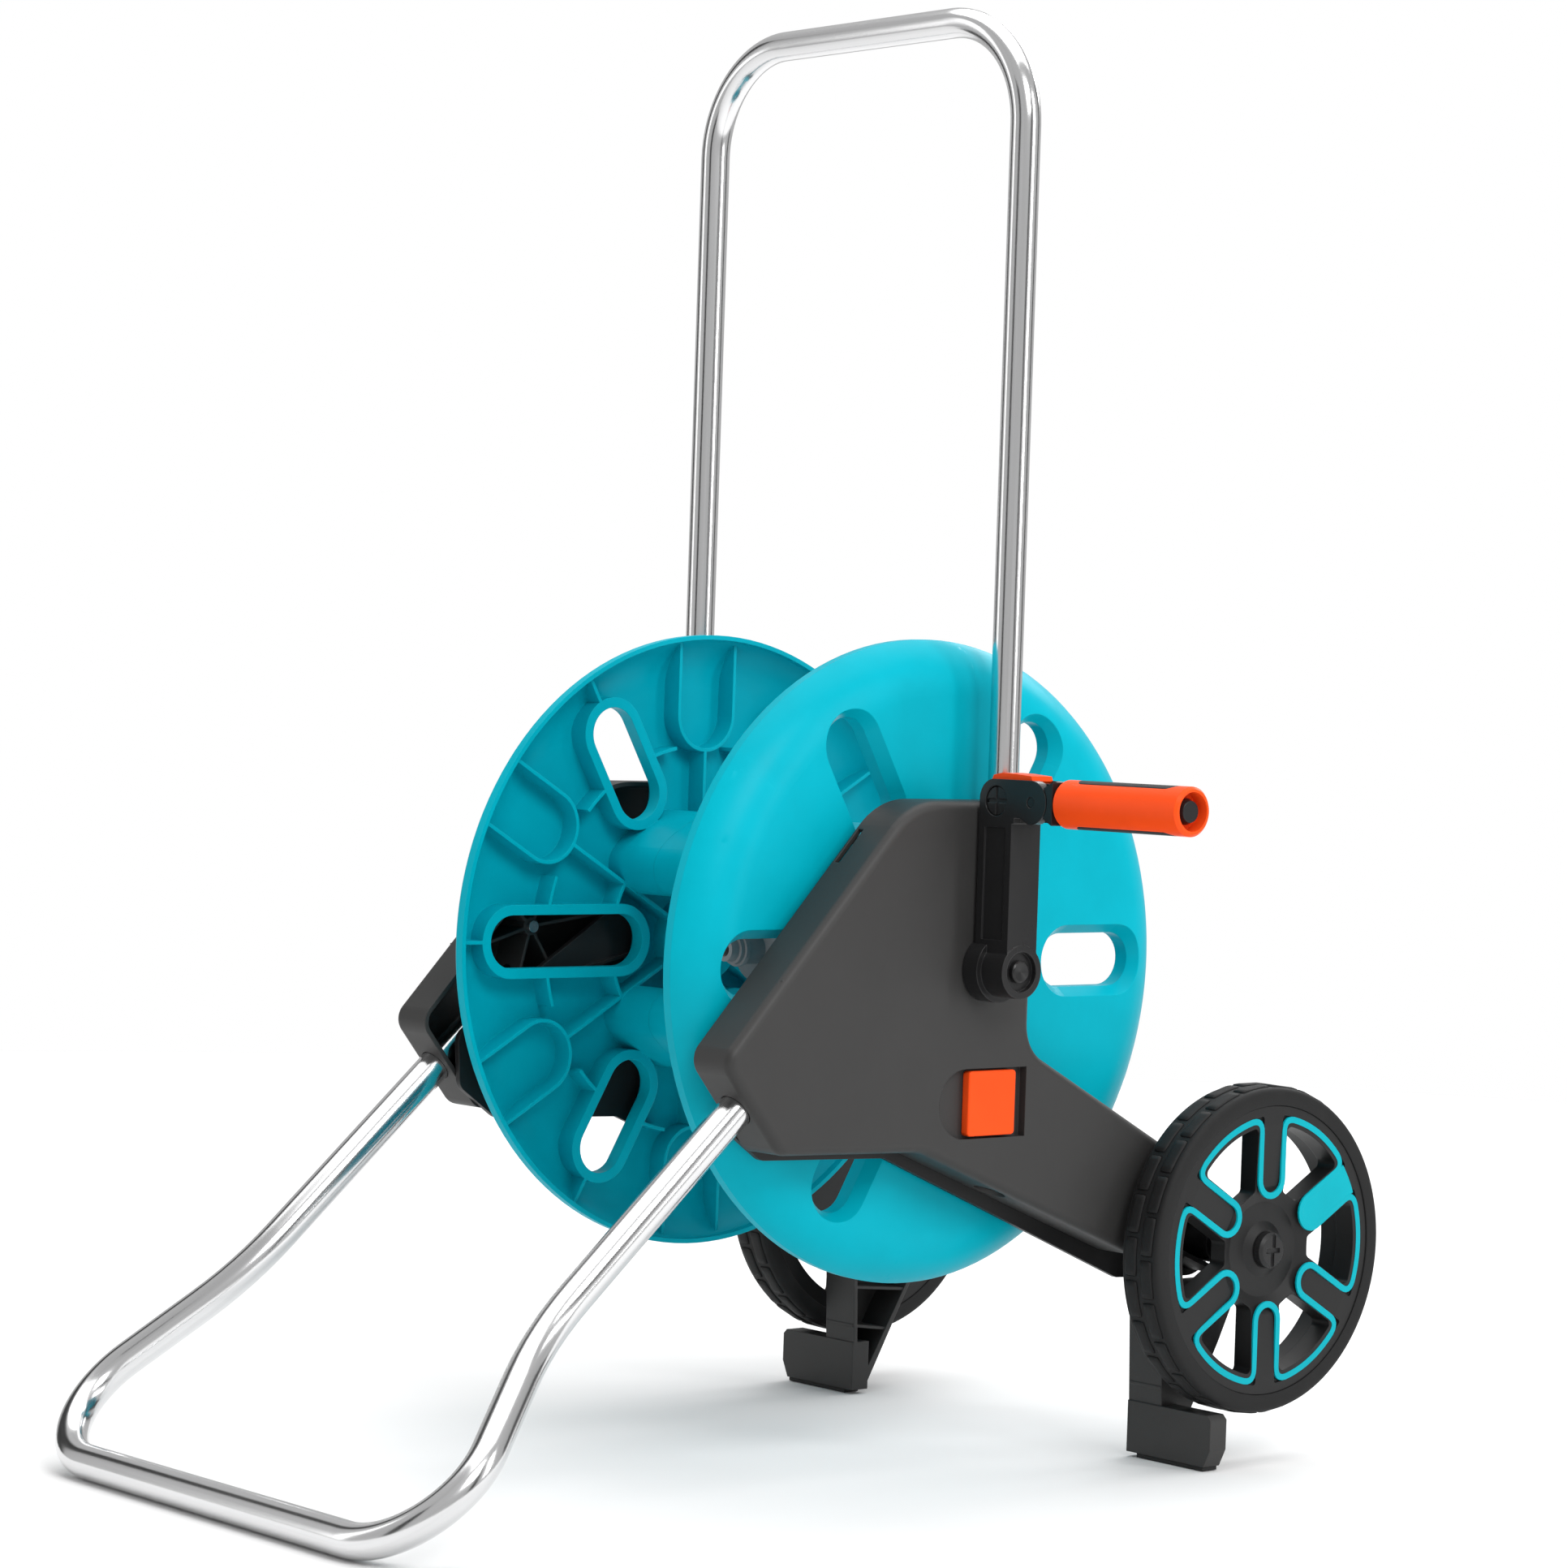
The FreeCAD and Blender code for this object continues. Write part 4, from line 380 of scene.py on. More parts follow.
@dataclass(frozen=True)
class PolishedTube:
    """Drawn and polished aluminium tube: fine lines along the tube, soft clouds, a few scuffs across."""

    name: str
    colour: Colour = (0.74, 0.74, 0.745)
    roughness: float = 0.17
    scuffs: float = 0.5
    scuff_colour: Colour = (0.93, 0.93, 0.92)
    line_stretch: Point = (90.0, 2.2, 1.0)
    broad_stretch: Point = (12.0, 3.0, 1.0)
    patch_stretch: Point = (2.0, 7.0, 1.0)
    nick_stretch: Point = (34.0, 130.0, 1.0)
    dark_tone: float = 0.90
    line_depth: float = 0.00003

    def make(self) -> bpy.types.Material:
        """Build the material.

        Returns:
            The finished material.
        """
        sheet = ShaderSheet(self.name)
        lines = sheet.noise(sheet.uv(self.line_stretch), 1.0, 5.0, 0.7)
        broad = sheet.noise(sheet.uv(self.broad_stretch), 1.0, 3.0, 0.55)
        patches = sheet.noise(sheet.uv(self.patch_stretch), 1.0, 4.0, 0.6).ramp(0.56, 0.74)
        nicks = sheet.noise(sheet.uv(self.nick_stretch), 1.0, 5.0, 0.8).ramp(0.60, 0.68)
        nicks = nicks * patches * self.scuffs
        tone = sheet.mix(broad.ramp(0.3, 0.7), shade(self.colour, self.dark_tone), self.colour)
        sheet.wire(Metallic=1.0, Base_Color=sheet.mix(nicks, tone, self.scuff_colour),
                   Roughness=(lines - 0.5) * 0.12 + (broad - 0.5) * 0.08 + self.roughness + nicks * 0.35,
                   Normal=sheet.bump(lines, self.line_depth, 0.35))
        return sheet.material


@dataclass(frozen=True)
class MetalFinish:
    """Plain metal on small parts: brushed or bright, with a faint tarnish."""

    name: str
    colour: Colour
    roughness: float = 0.3
    tarnish_scale: float = 160.0
    tarnish_tone: float = 0.72
    edge_radius: float = 0.0003

    def make(self) -> bpy.types.Material:
        """Build the material.

        Returns:
            The finished material.
        """
        sheet = ShaderSheet(self.name)
        tarnish = sheet.noise(sheet.place(), self.tarnish_scale, 4.0, 0.6)
        rounded, edges = sheet.soft_edge(self.edge_radius)
        dull = shade(self.colour, self.tarnish_tone)
        sheet.wire(Metallic=1.0, Base_Color=sheet.mix(tarnish.ramp(0.35, 0.75), self.colour, dull),
                   Roughness=(tarnish - 0.5) * 0.2 + self.roughness - edges * 0.05,
                   Normal=sheet.bump(tarnish, 0.00002, 0.4, rounded))
        return sheet.material


@dataclass(frozen=True)
class SoftRubber:
    """Soft black rubber or elastomer: dull, finely pitted, with a painted highlight on every sharp edge,
    paler where dust settles.
    """

    name: str
    colour: Colour
    roughness: float = 0.72
    pit_size: float = 0.0011
    dust: float = 0.25
    cloud_scale: float = 30.0
    edge_radius: float = 0.0009
    rubbed_tone: float = 1.9
    dust_colour: Colour = (0.11, 0.105, 0.10)
    pit_depth: float = 0.00008

    def make(self) -> bpy.types.Material:
        """Build the material.

        Returns:
            The finished material.
        """
        sheet = ShaderSheet(self.name)
        pits = sheet.cells(sheet.place(), 1.0 / self.pit_size)
        cloud = sheet.noise(sheet.place(), self.cloud_scale, 5.0, 0.65)
        rounded, edges = sheet.soft_edge(self.edge_radius)
        # Painted highlight: every sharp edge is mixed halfway to a paler copy of the colour, standing in
        # for light caught on the edges.
        highlighted_rubber = sheet.mix(edges * 0.5, self.colour, shade(self.colour, self.rubbed_tone))
        powder = cloud.ramp(0.5, 0.8) * self.dust
        sheet.wire(Base_Color=sheet.mix(powder, highlighted_rubber, self.dust_colour),
                   Roughness=(cloud - 0.5) * 0.12 + self.roughness, Specular_IOR_Level=0.3,
                   Normal=sheet.bump(pits, self.pit_depth, 0.35, rounded))
        return sheet.material


@dataclass(frozen=True)
class StudioPaint:
    """Matt pale paint of the studio floor."""

    name: str
    colour: Colour

    def make(self) -> bpy.types.Material:
        """Build the material.

        Returns:
            The finished material.
        """
        sheet = ShaderSheet(self.name)
        cloud = sheet.noise(sheet.place(), 0.7, 3.0)
        sheet.wire(Base_Color=sheet.mix(cloud, self.colour, shade(self.colour, 0.985)), Roughness=0.9)
        return sheet.material


Finish = Union[MouldedPlastic, PolishedTube, MetalFinish, SoftRubber, StudioPaint]


@dataclass
class Palette:
    """Every finish of the cart, made once and handed to the sub-assemblies."""

    teal: Finish = MouldedPlastic("teal_moulding", (0.0, 0.375, 0.475), 0.34, 0.0007, 0.000018, 0.0007,
                                  gloss=0.06)
    inlay_teal: Finish = MouldedPlastic("teal_inlay", (0.0, 0.36, 0.43), 0.40, 0.0006, 0.00002, 0.0003,
                                        1.2, gloss=0.1)
    grey: Finish = MouldedPlastic("grey_cover", (0.031, 0.0305, 0.030), 0.48, 0.0008, 0.00004, 0.0010,
                                  1.6, 0.03)
    black: Finish = MouldedPlastic("black_carrier", (0.014, 0.014, 0.0145), 0.44, 0.0007, 0.00003, 0.0008,
                                   2.2, 0.03)
    gloss_black: Finish = MouldedPlastic("black_crank", (0.012, 0.012, 0.0125), 0.30, 0.0006, 0.00001,
                                         0.0008, 2.4)
    rim_black: Finish = MouldedPlastic("black_rim", (0.0075, 0.0075, 0.0077), 0.48, 0.0007, 0.00004,
                                       0.0008, 2.0, 0.02)
    orange: Finish = MouldedPlastic("orange_moulding", (0.92, 0.078, 0.010), 0.34, 0.0006, 0.000012,
                                    0.0006, 1.15, gloss=0.1)
    nozzle: Finish = MouldedPlastic("grey_nozzle", (0.24, 0.24, 0.245), 0.42, 0.0006, 0.00002, 0.0004, 1.3)
    natural: Finish = MouldedPlastic("natural_bush", (0.55, 0.53, 0.48), 0.45, 0.0006, 0.00002, 0.0003,
                                     1.1)
    tube: Finish = PolishedTube("polished_aluminium")
    shaft: Finish = MetalFinish("drawn_shaft", (0.74, 0.75, 0.76), 0.28)
    steel: Finish = MetalFinish("bright_steel", (0.62, 0.62, 0.63), 0.25)
    tyre: Finish = SoftRubber("tyre_rubber", (0.0065, 0.0065, 0.0067), 0.68, 0.0011, 0.05)
    grip: Finish = SoftRubber("grip_rubber", (0.020, 0.020, 0.0215), 0.66, 0.0008, 0.08)
    seal: Finish = SoftRubber("seal_rubber", (0.014, 0.014, 0.014), 0.6, 0.0008, 0.05)
    made: dict[str, bpy.types.Material] = field(default_factory=dict)

    def take(self, finish: Finish) -> bpy.types.Material:
        """Give the material of a finish and make it the first time.

        Args:
            finish: One of the palette's finishes.

        Returns:
            The material.
        """
        if finish.name not in self.made:
            self.made[finish.name] = finish.make()
        return self.made[finish.name]


class TreeSheet(NodeSheet):
    """A geometry node tree with named inputs."""

    def __init__(self, name: str, sizes: dict[str, Union[int, float]]) -> None:
        """Start the tree with a geometry input and one named input for each size.

        Args:
            name: The tree's name.
            sizes: Input names with their values; whole numbers become counts.
        """
        self.tree = bpy.data.node_groups.new(name, "GeometryNodeTree")
        self.sizes = sizes
        face = self.tree.interface
        face.new_socket("Geometry", in_out="INPUT", socket_type="NodeSocketGeometry")
        self.keys: dict[str, str] = {}
        for label, size in sizes.items():
            kind = "NodeSocketInt" if isinstance(size, int) else "NodeSocketFloat"
            self.keys[label] = face.new_socket(label, in_out="INPUT", socket_type=kind).identifier
        face.new_socket("Geometry", in_out="OUTPUT", socket_type="NodeSocketGeometry")
        self.start = self.tree.nodes.new("NodeGroupInput")
        self.end = self.tree.nodes.new("NodeGroupOutput")

    def size(self, label: str) -> bpy.types.NodeSocket:
        """Give the socket of a named input."""
        return self.start.outputs[label]

    def maths(self, operation: str, first: Any, second: Any) -> bpy.types.NodeSocket:
        """Add one Math node and give its result."""
        return self.node("ShaderNodeMath", {"operation": operation}, {0: first, 1: second}).outputs[0]

    def vector(self, x: Any = 0.0, y: Any = 0.0, z: Any = 0.0) -> bpy.types.NodeSocket:
        """Combine three values or sockets into a vector."""
        return self.node("ShaderNodeCombineXYZ", None, {0: x, 1: y, 2: z}).outputs[0]

    def round_ring(self, shape: bpy.types.NodeSocket, count: str, radius: str,
                   pitch: Any = 0.0, shift: Any = 0.0) -> bpy.types.NodeSocket:
        """Stand copies of a shape round a ring about X, each turned outwards.

        Args:
            shape: Geometry socket of the shape.
            count: Name of the input that says how many copies there are.
            radius: Name of the input that gives the ring's radius.
            pitch: Turn of the whole ring about its axis, in radians.
            shift: The ring's place along X.

        Returns:
            The geometry socket of the copies.
        """
        ring = self.node("GeometryNodeMeshCircle", None,
                         {"Vertices": self.size(count), "Radius": self.size(radius)})
        turned = self.node("GeometryNodeTransform", None, {
            "Geometry": ring.outputs[0], "Rotation": self.vector(0.0, 0.0, pitch)})
        stood = self.node("GeometryNodeTransform", None, {
            "Geometry": turned.outputs[0], "Rotation": (0.0, math.pi / 2, 0.0),
            "Translation": self.vector(shift)})
        spot = self.node("GeometryNodeInputPosition")
        outward = self.node("ShaderNodeVectorMath", {"operation": "MULTIPLY"},
                            {0: spot.outputs[0], 1: (0.0, 1.0, 1.0)})
        facing = self.node("FunctionNodeAlignRotationToVector", {"axis": "Z", "pivot_axis": "X"},
                           {"Vector": outward.outputs[0]})
        placed = self.node("GeometryNodeInstanceOnPoints", None, {
            "Points": stood.outputs[0], "Instance": shape, "Rotation": facing.outputs[0]})
        return placed.outputs[0]

    def close(self, parts: Sequence[bpy.types.NodeSocket], material: bpy.types.Material) -> None:
        """End the tree: join the parts, realize instances and set the material.

        Args:
            parts: Geometry sockets to join.
            material: The material of the result.
        """
        joined = self.node("GeometryNodeJoinGeometry")
        for part in parts:
            self.tree.links.new(part, joined.inputs[0])
        whole = self.node("GeometryNodeRealizeInstances", None, {0: joined.outputs[0]})
        dressed = self.node("GeometryNodeSetMaterial", None,
                            {"Geometry": whole.outputs[0], "Material": material})
        self.tree.links.new(dressed.outputs[0], self.end.inputs[0])

    def apply(self, piece: bpy.types.Object) -> bpy.types.Object:
        """Run the tree on a piece and turn the result into its plain mesh.

        Args:
            piece: The piece that carries the starting mesh.

        Returns:
            The same piece with the finished mesh and no modifier.
        """
        modifier = piece.modifiers.new(self.tree.name, "NODES")
        modifier.node_group = self.tree
        for label, size in self.sizes.items():
            modifier[self.keys[label]] = size
        bpy.context.view_layer.update()
        evaluated = piece.evaluated_get(bpy.context.evaluated_depsgraph_get())
        mesh = bpy.data.meshes.new_from_object(evaluated)
        piece.modifiers.remove(modifier)
        old = piece.data
        piece.data = mesh
        mesh.name = piece.name
        bpy.data.meshes.remove(old)
        return piece


def new_piece(name: str, points: Sequence[Sequence[float]],
              faces: Sequence[Sequence[int]]) -> bpy.types.Object:
    """Make a mesh piece at the origin.

    Args:
        name: The piece's name.
        points: Its points in the row's frame, in metres.
        faces: Its faces as point numbers.

    Returns:
        The linked object.
    """
    mesh = bpy.data.meshes.new(name)
    mesh.from_pydata([tuple(point) for point in points], [], [tuple(face) for face in faces])
    mesh.validate()
    piece = bpy.data.objects.new(name, mesh)
    bpy.context.scene.collection.objects.link(piece)
    return piece


def smooth(piece: bpy.types.Object, angle: float = 32.0) -> bpy.types.Object:
    """Shade a piece smooth and keep edges over an angle sharp.

    Args:
        piece: The piece to shade.
        angle: The sharpest smooth edge, in degrees.

    Returns:
        The same piece.
    """
    mesh = piece.data
    mesh.polygons.foreach_set("use_smooth", [True] * len(mesh.polygons))
    mesh.set_sharp_from_angle(angle=math.radians(angle))
    return piece


def dress(piece: bpy.types.Object, material: bpy.types.Material) -> None:
    """Put one material on every slot of a piece."""
    if not piece.material_slots:
        piece.data.materials.append(material)
    for slot in piece.material_slots:
        slot.material = material


def turned_ring(profile: Sequence[tuple[float, float]], centre: Vector, steps: int,
                outward: int) -> tuple[list[Point], list[list[int]]]:
    """Turn a closed profile about an axis along X.

    Args:
        profile: Offsets along X and radii, in metres.
        centre: The middle of the ring.
        steps: How many steps round the axis.
        outward: 1 where X points out of the cart and -1 where it points in.

    Returns:
        Points and faces of the ring.
    """
    points, faces = [], []
    for step in range(steps):
        turn = 2 * math.pi * step / steps
        for offset, radius in profile:
            points.append((centre.x + outward * offset, centre.y + radius * math.cos(turn),
                           centre.z + radius * math.sin(turn)))
    count = len(profile)
    for step in range(steps):
        first, second = step * count, (step + 1) % steps * count
        for number in range(count):
            after = (number + 1) % count
            face = [first + number, first + after, second + after, second + number]
            faces.append(face if outward > 0 else face[::-1])
    return points, faces


@dataclass
class Tyre:
    """One wheel's tyre: a crowned ring with two staggered rows of rounded tread pads."""

    side: Side
    palette: Palette
    radius: float = 0.100
    half_width: float = 0.0151
    depth: float = 0.0120
    tread: float = 0.0012
    pad_height: float = 0.0052
    pads: int = 24
    pad_length: float = 0.0236
    pad_width: float = 0.0098
    row_offset: float = 0.0062
    pad_sink: float = 0.00030
    pad_crease: float = 0.78
    ring_steps: int = 120
    lip: float = 0.0004
    wall_foot: float = 0.0008
    wall_top: float = 0.0040
    shoulder_in: float = 0.0036
    shoulder_drop: float = 0.0038
    shoulder_steps: int = 5
    crown_rise: float = 0.0002
    crown_half: float = 0.006

    def centre(self) -> Vector:
        """Give the tyre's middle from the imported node's box."""
        low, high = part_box(f"{self.side.word}_wheel_tyre")
        return (Vector(low) + Vector(high)) / 2

    def profile(self) -> list[tuple[float, float]]:
        """Give the ring's section, with flat walls, rounded shoulders and a low crown.

        Returns:
            Offsets along X and radii.
        """
        half, base = self.half_width, self.radius - self.tread
        inner, drop = self.radius - self.depth, self.shoulder_drop
        wall = [(-half + self.lip, inner), (-half, inner + self.wall_foot)]
        shoulder = [(-half, base - self.wall_top)]
        shoulder += [(-half + self.shoulder_in * (1 - math.cos(a)), base - drop + drop * math.sin(a))
                     for a in (math.pi / 2 * (n + 1) / self.shoulder_steps
                               for n in range(self.shoulder_steps))]
        crown = [(x, base + self.crown_rise) for x in (-self.crown_half, 0.0)]
        left = wall + shoulder + crown
        right = [(-x, r) for x, r in reversed(left[:-1])]
        return left + right

    def tread_tree(self, centre: Vector) -> TreeSheet:
        """Build the tree that sets the pads round the ring.

        Args:
            centre: The tyre's middle.

        Returns:
            The finished tree.
        """
        sheet = TreeSheet(f"tread_{self.side.word}", {
            "Rolling Radius": self.radius - self.pad_height / 2 - self.pad_sink, "Pad Count": self.pads,
            "Pad Length": self.pad_length, "Pad Width": self.pad_width, "Pad Height": self.pad_height,
            "Row Offset": self.row_offset})
        block = sheet.node("GeometryNodeMeshCube", None, {
            "Size": sheet.vector(*(sheet.size(f"Pad {name}") for name in ("Width", "Length", "Height"))),
            "Vertices X": 3, "Vertices Y": 4, "Vertices Z": 2})
        pad = sheet.node("GeometryNodeSubdivisionSurface", None,
                         {"Mesh": block.outputs["Mesh"], "Level": 1, "Edge Crease": self.pad_crease})
        soft = sheet.node("GeometryNodeSetShadeSmooth", None, {"Geometry": pad.outputs[0]})
        rows = []
        for way, phase in ((-1.0, 0.0), (1.0, 0.5)):
            pitch = sheet.maths("DIVIDE", 2 * math.pi * phase, sheet.size("Pad Count"))
            shift = sheet.maths("MULTIPLY", sheet.size("Row Offset"), way)
            rows.append(sheet.round_ring(soft.outputs[0], "Pad Count", "Rolling Radius", pitch, shift))
        both = sheet.node("GeometryNodeJoinGeometry")
        for pads in rows:
            sheet.tree.links.new(pads, both.inputs[0])
        set_down = sheet.node("GeometryNodeTransform", None,
                              {"Geometry": both.outputs[0], "Translation": tuple(centre)})
        sheet.close([sheet.start.outputs[0], set_down.outputs[0]], self.palette.take(self.palette.tyre))
        return sheet

    def build(self) -> None:
        """Make the tyre, put it on its wheel and hide the plain one."""
        centre = self.centre()
        points, faces = turned_ring(self.profile(), centre, self.ring_steps, self.side.value)
        piece = new_piece(f"tyre_{self.side.word}", points, faces)
        smooth(piece, 40.0)
        self.tread_tree(centre).apply(piece)
        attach(piece, f"wheel_{self.side.word}")
        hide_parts(f"{self.side.word}_wheel_tyre")
        log.info("tyre %s: %d faces", self.side.word, len(piece.data.polygons))


@dataclass
class WheelInlay:
    """The teal inlay of one wheel: a rounded band round the windows and one filled spoke."""

    side: Side
    palette: Palette
    spokes: int = 6
    first_angle: float = 30.0
    rim_radius: float = 0.0805
    hub_radius: float = 0.0330
    half_spoke: float = 0.0099
    width: float = 0.0040
    corner: float = 0.0085
    lift: float = 0.00012
    depth: float = 0.0012
    spoke_sink: float = 0.00004
    top_share: float = 0.94
    bend_steps: int = 12
    corner_steps: int = 6
    rim_steps: int = 10

    def at(self, radius: float, angle: float) -> Vector:
        """Give a point of the wheel's face by radius and angle in degrees."""
        return Vector((radius * math.cos(math.radians(angle)), radius * math.sin(math.radians(angle))))

    def spoke(self, angle: float) -> list[Vector]:
        """Give the turn round one spoke, from its front rim corner to its back one.

        Args:
            angle: The spoke's direction in degrees.

        Returns:
            Points of the turn.
        """
        along, across = self.at(1.0, angle), self.at(1.0, angle + 90.0)
        centre = along * (self.hub_radius + self.half_spoke)
        bend = [centre - (along * math.sin(a) + across * math.cos(a)) * self.half_spoke
                for a in (math.pi * step / self.bend_steps for step in range(self.bend_steps + 1))]
        reach = math.sqrt(self.rim_radius ** 2 - self.half_spoke ** 2)
        return [along * reach - across * self.half_spoke, *bend, along * reach + across * self.half_spoke]

    def softened(self, before: Vector, corner: Vector, after: Vector) -> list[Vector]:
        """Round one corner of the path with a short curve."""
        start = corner + (before - corner).normalized() * self.corner
        end = corner + (after - corner).normalized() * self.corner
        shares = [step / self.corner_steps for step in range(self.corner_steps + 1)]
        return [start.lerp(corner, share).lerp(corner.lerp(end, share), share) for share in shares]

    def path(self) -> tuple[list[Vector], list[Vector]]:
        """Walk along the band's centre line.

        Returns:
            The closed centre line, and the outline of the filled spoke.
        """
        line: list[Vector] = []
        pitch = 360.0 / self.spokes
        lead = math.degrees(math.asin(self.half_spoke / self.rim_radius))
        slip = math.degrees(self.corner / self.rim_radius)
        for number in range(self.spokes):
            angle = self.first_angle + pitch * number
            turn = self.spoke(angle)
            line += self.softened(self.at(self.rim_radius, angle - lead - slip), turn[0], turn[1])
            line += turn[1:-1]
            line += self.softened(turn[-2], turn[-1], self.at(self.rim_radius, angle + lead + slip))
            sweep = pitch - 2 * (lead + slip)
            line += [self.at(self.rim_radius, angle + lead + slip + sweep * step / self.rim_steps)
                     for step in range(1, self.rim_steps)]
        first = self.spoke(self.first_angle)
        cap = [self.at(self.rim_radius, self.first_angle + lead * (1 - step / 3)) for step in range(1, 6)]
        return line, first + cap

    def build(self) -> None:
        """Make the inlay and put it in place of the plain one."""
        low, high = (Vector(corner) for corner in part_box(f"{self.side.word}_wheel_inlay"))
        hub = sum((Vector(corner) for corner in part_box(f"{self.side.word}_wheel_tyre")), Vector()) / 2
        face = high.x if self.side is Side.RIGHT else low.x
        out = float(self.side.value)
        line, spoke = self.path()
        points: list[Point] = []
        faces: list[list[int]] = []
        count = len(line)
        for number, spot in enumerate(line):
            way = (line[(number + 1) % count] - line[number - 1]).normalized()
            normal = Vector((-way.y, way.x)) * self.width / 2
            top = normal * self.top_share
            for reach, sink in ((normal, self.depth), (top, 0.0), (-top, 0.0), (-normal, self.depth)):
                place = spot + reach
                points.append((face + out * (self.lift - sink), hub.y + place.x, hub.z + place.y))
        for number in range(count):
            here, there = number * 4, (number + 1) % count * 4
            for edge in range(4):
                after = (edge + 1) % 4
                faces.append([here + edge, there + edge, there + after, here + after])
        start, cap = len(points), len(spoke)
        for sink in (self.spoke_sink, self.depth):
            points += [(face + out * (self.lift - sink), hub.y + p.x, hub.z + p.y) for p in spoke]
        faces.append([start + number for number in range(cap)])
        faces.append([start + cap + number for number in range(cap)][::-1])
        faces += [[start + n, start + cap + n, start + cap + (n + 1) % cap, start + (n + 1) % cap]
                  for n in range(cap)]
        piece = new_piece(f"inlay_{self.side.word}", points, faces)
        self.face_outward(piece)
        smooth(piece, 35.0)
        dress(piece, self.palette.take(self.palette.inlay_teal))
        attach(piece, f"wheel_{self.side.word}")
        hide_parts(f"{self.side.word}_wheel_inlay")
        log.info("inlay %s: %d faces", self.side.word, len(piece.data.polygons))

    def face_outward(self, piece: bpy.types.Object) -> None:
        """Turn the faces of both closed shells outwards."""
        shape = bmesh.new()
        shape.from_mesh(piece.data)
        bmesh.ops.recalc_face_normals(shape, faces=shape.faces)
        shape.to_mesh(piece.data)
        shape.free()


@dataclass
class BentTube:
    """A tube bent along straight runs and arcs, swept with its own UV map along its length."""

    name: str
    node: str
    body: str
    radius: float
    corners: list[Vector]
    bends: list[float]
    palette: Palette
    sides: int = 40
    arc_step: float = 4.0
    squeeze: float = 0.05
    dimples: tuple[float, ...] = ()
    dimple_reach: float = 0.004
    dimple_depth: float = 0.0012
    dimple_focus: int = 24
    fit: float = 0.9995
    run_step: float = 0.02
    round_bend: float = 0.1

    def centre_line(self) -> tuple[list[Vector], list[Vector], list[float]]:
        """Walk along the runs and arcs.

        Returns:
            Points, directions and how far the tube is flattened at each of them.
        """
        points, ways, flats = [], [], []
        last = len(self.corners) - 1
        for number, corner in enumerate(self.corners):
            if number in (0, last):
                other = self.corners[1 if number == 0 else last - 1]
                way = (other - corner).normalized() * (1 if number == 0 else -1)
                points.append(corner)
                ways.append(way)
                flats.append(0.0)
                continue
            before = (self.corners[number - 1] - corner).normalized()
            after = (self.corners[number + 1] - corner).normalized()
            opening = before.angle(after)
            reach = self.bends[number - 1] / math.tan(opening / 2)
            away = self.bends[number - 1] / math.sin(opening / 2)
            middle = corner + (before + after).normalized() * away
            turn = math.pi - opening
            axis = (-before).cross(after).normalized()
            start = corner + before * reach - middle
            steps = max(3, round(math.degrees(turn) / self.arc_step))
            for step in range(steps + 1):
                spin = Matrix.Rotation(turn * step / steps, 3, axis)
                points.append(middle + spin @ start)
                ways.append((spin @ -before).normalized())
                tightness = min(1.0, self.round_bend / self.bends[number - 1])
                flats.append(math.sin(math.pi * step / steps) * tightness)
        return self.with_runs(points, ways, flats)

    def with_runs(self, points: list[Vector], ways: list[Vector],
                  flats: list[float]) -> tuple[list[Vector], list[Vector], list[float]]:
        """Divide long straight runs so that faces stay short.

        Args:
            points: Points of the centre line.
            ways: Directions at those points.
            flats: Flattening at those points.

        Returns:
            The same three lists with more entries.
        """
        out: tuple[list[Vector], list[Vector], list[float]] = ([], [], [])
        for number, spot in enumerate(points):
            if number:
                gap = (spot - points[number - 1]).length
                extra = int(gap / self.run_step)
                for step in range(1, extra + 1):
                    share = step / (extra + 1)
                    out[0].append(points[number - 1].lerp(spot, share))
                    out[1].append(ways[number])
                    out[2].append(0.0)
            out[0].append(spot)
            out[1].append(ways[number])
            out[2].append(flats[number])
        return out

    def build(self) -> None:
        """Sweep the tube and put it in place of the plain one."""
        line, ways, flats = self.centre_line()
        plane = (line[len(line) // 4] - line[0]).cross(line[-1] - line[0]).normalized()
        points, faces, lengths, run = [], [], [], 0.0
        for number, (spot, way) in enumerate(zip(line, ways)):
            run += (spot - line[number - 1]).length if number else 0.0
            lengths.append(run)
            across = way.cross(plane).normalized()
            for side in range(self.sides):
                turn = 2 * math.pi * side / self.sides
                shrink = 1.0 - self.squeeze * flats[number]
                dent = sum(math.exp(-((run - at) / self.dimple_reach) ** 2)
                           * max(0.0, math.cos(turn)) ** self.dimple_focus for at in self.dimples)
                reach = (self.radius - self.dimple_depth * dent) * self.fit
                points.append(spot + across * math.cos(turn) * reach * shrink
                              + plane * math.sin(turn) * reach)
        for number in range(len(line) - 1):
            low, high = number * self.sides, (number + 1) * self.sides
            for side in range(self.sides):
                after = (side + 1) % self.sides
                faces.append([low + side, low + after, high + after, high + side])
        faces.append(list(range(self.sides))[::-1])
        faces.append(list(range((len(line) - 1) * self.sides, len(line) * self.sides)))
        piece = new_piece(self.name, points, faces)
        self.map_along(piece, lengths)
        face = piece.data.polygons[0]
        ring_middle = line[0].lerp(line[1], 0.5)
        if (Vector(face.center) - ring_middle).dot(face.normal) < 0:
            piece.data.flip_normals()
        smooth(piece, 50.0)
        dress(piece, self.palette.take(self.palette.tube))
        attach(piece, self.body)
        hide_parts(self.node)
        log.info("%s: %.3f m long", self.name, lengths[-1])

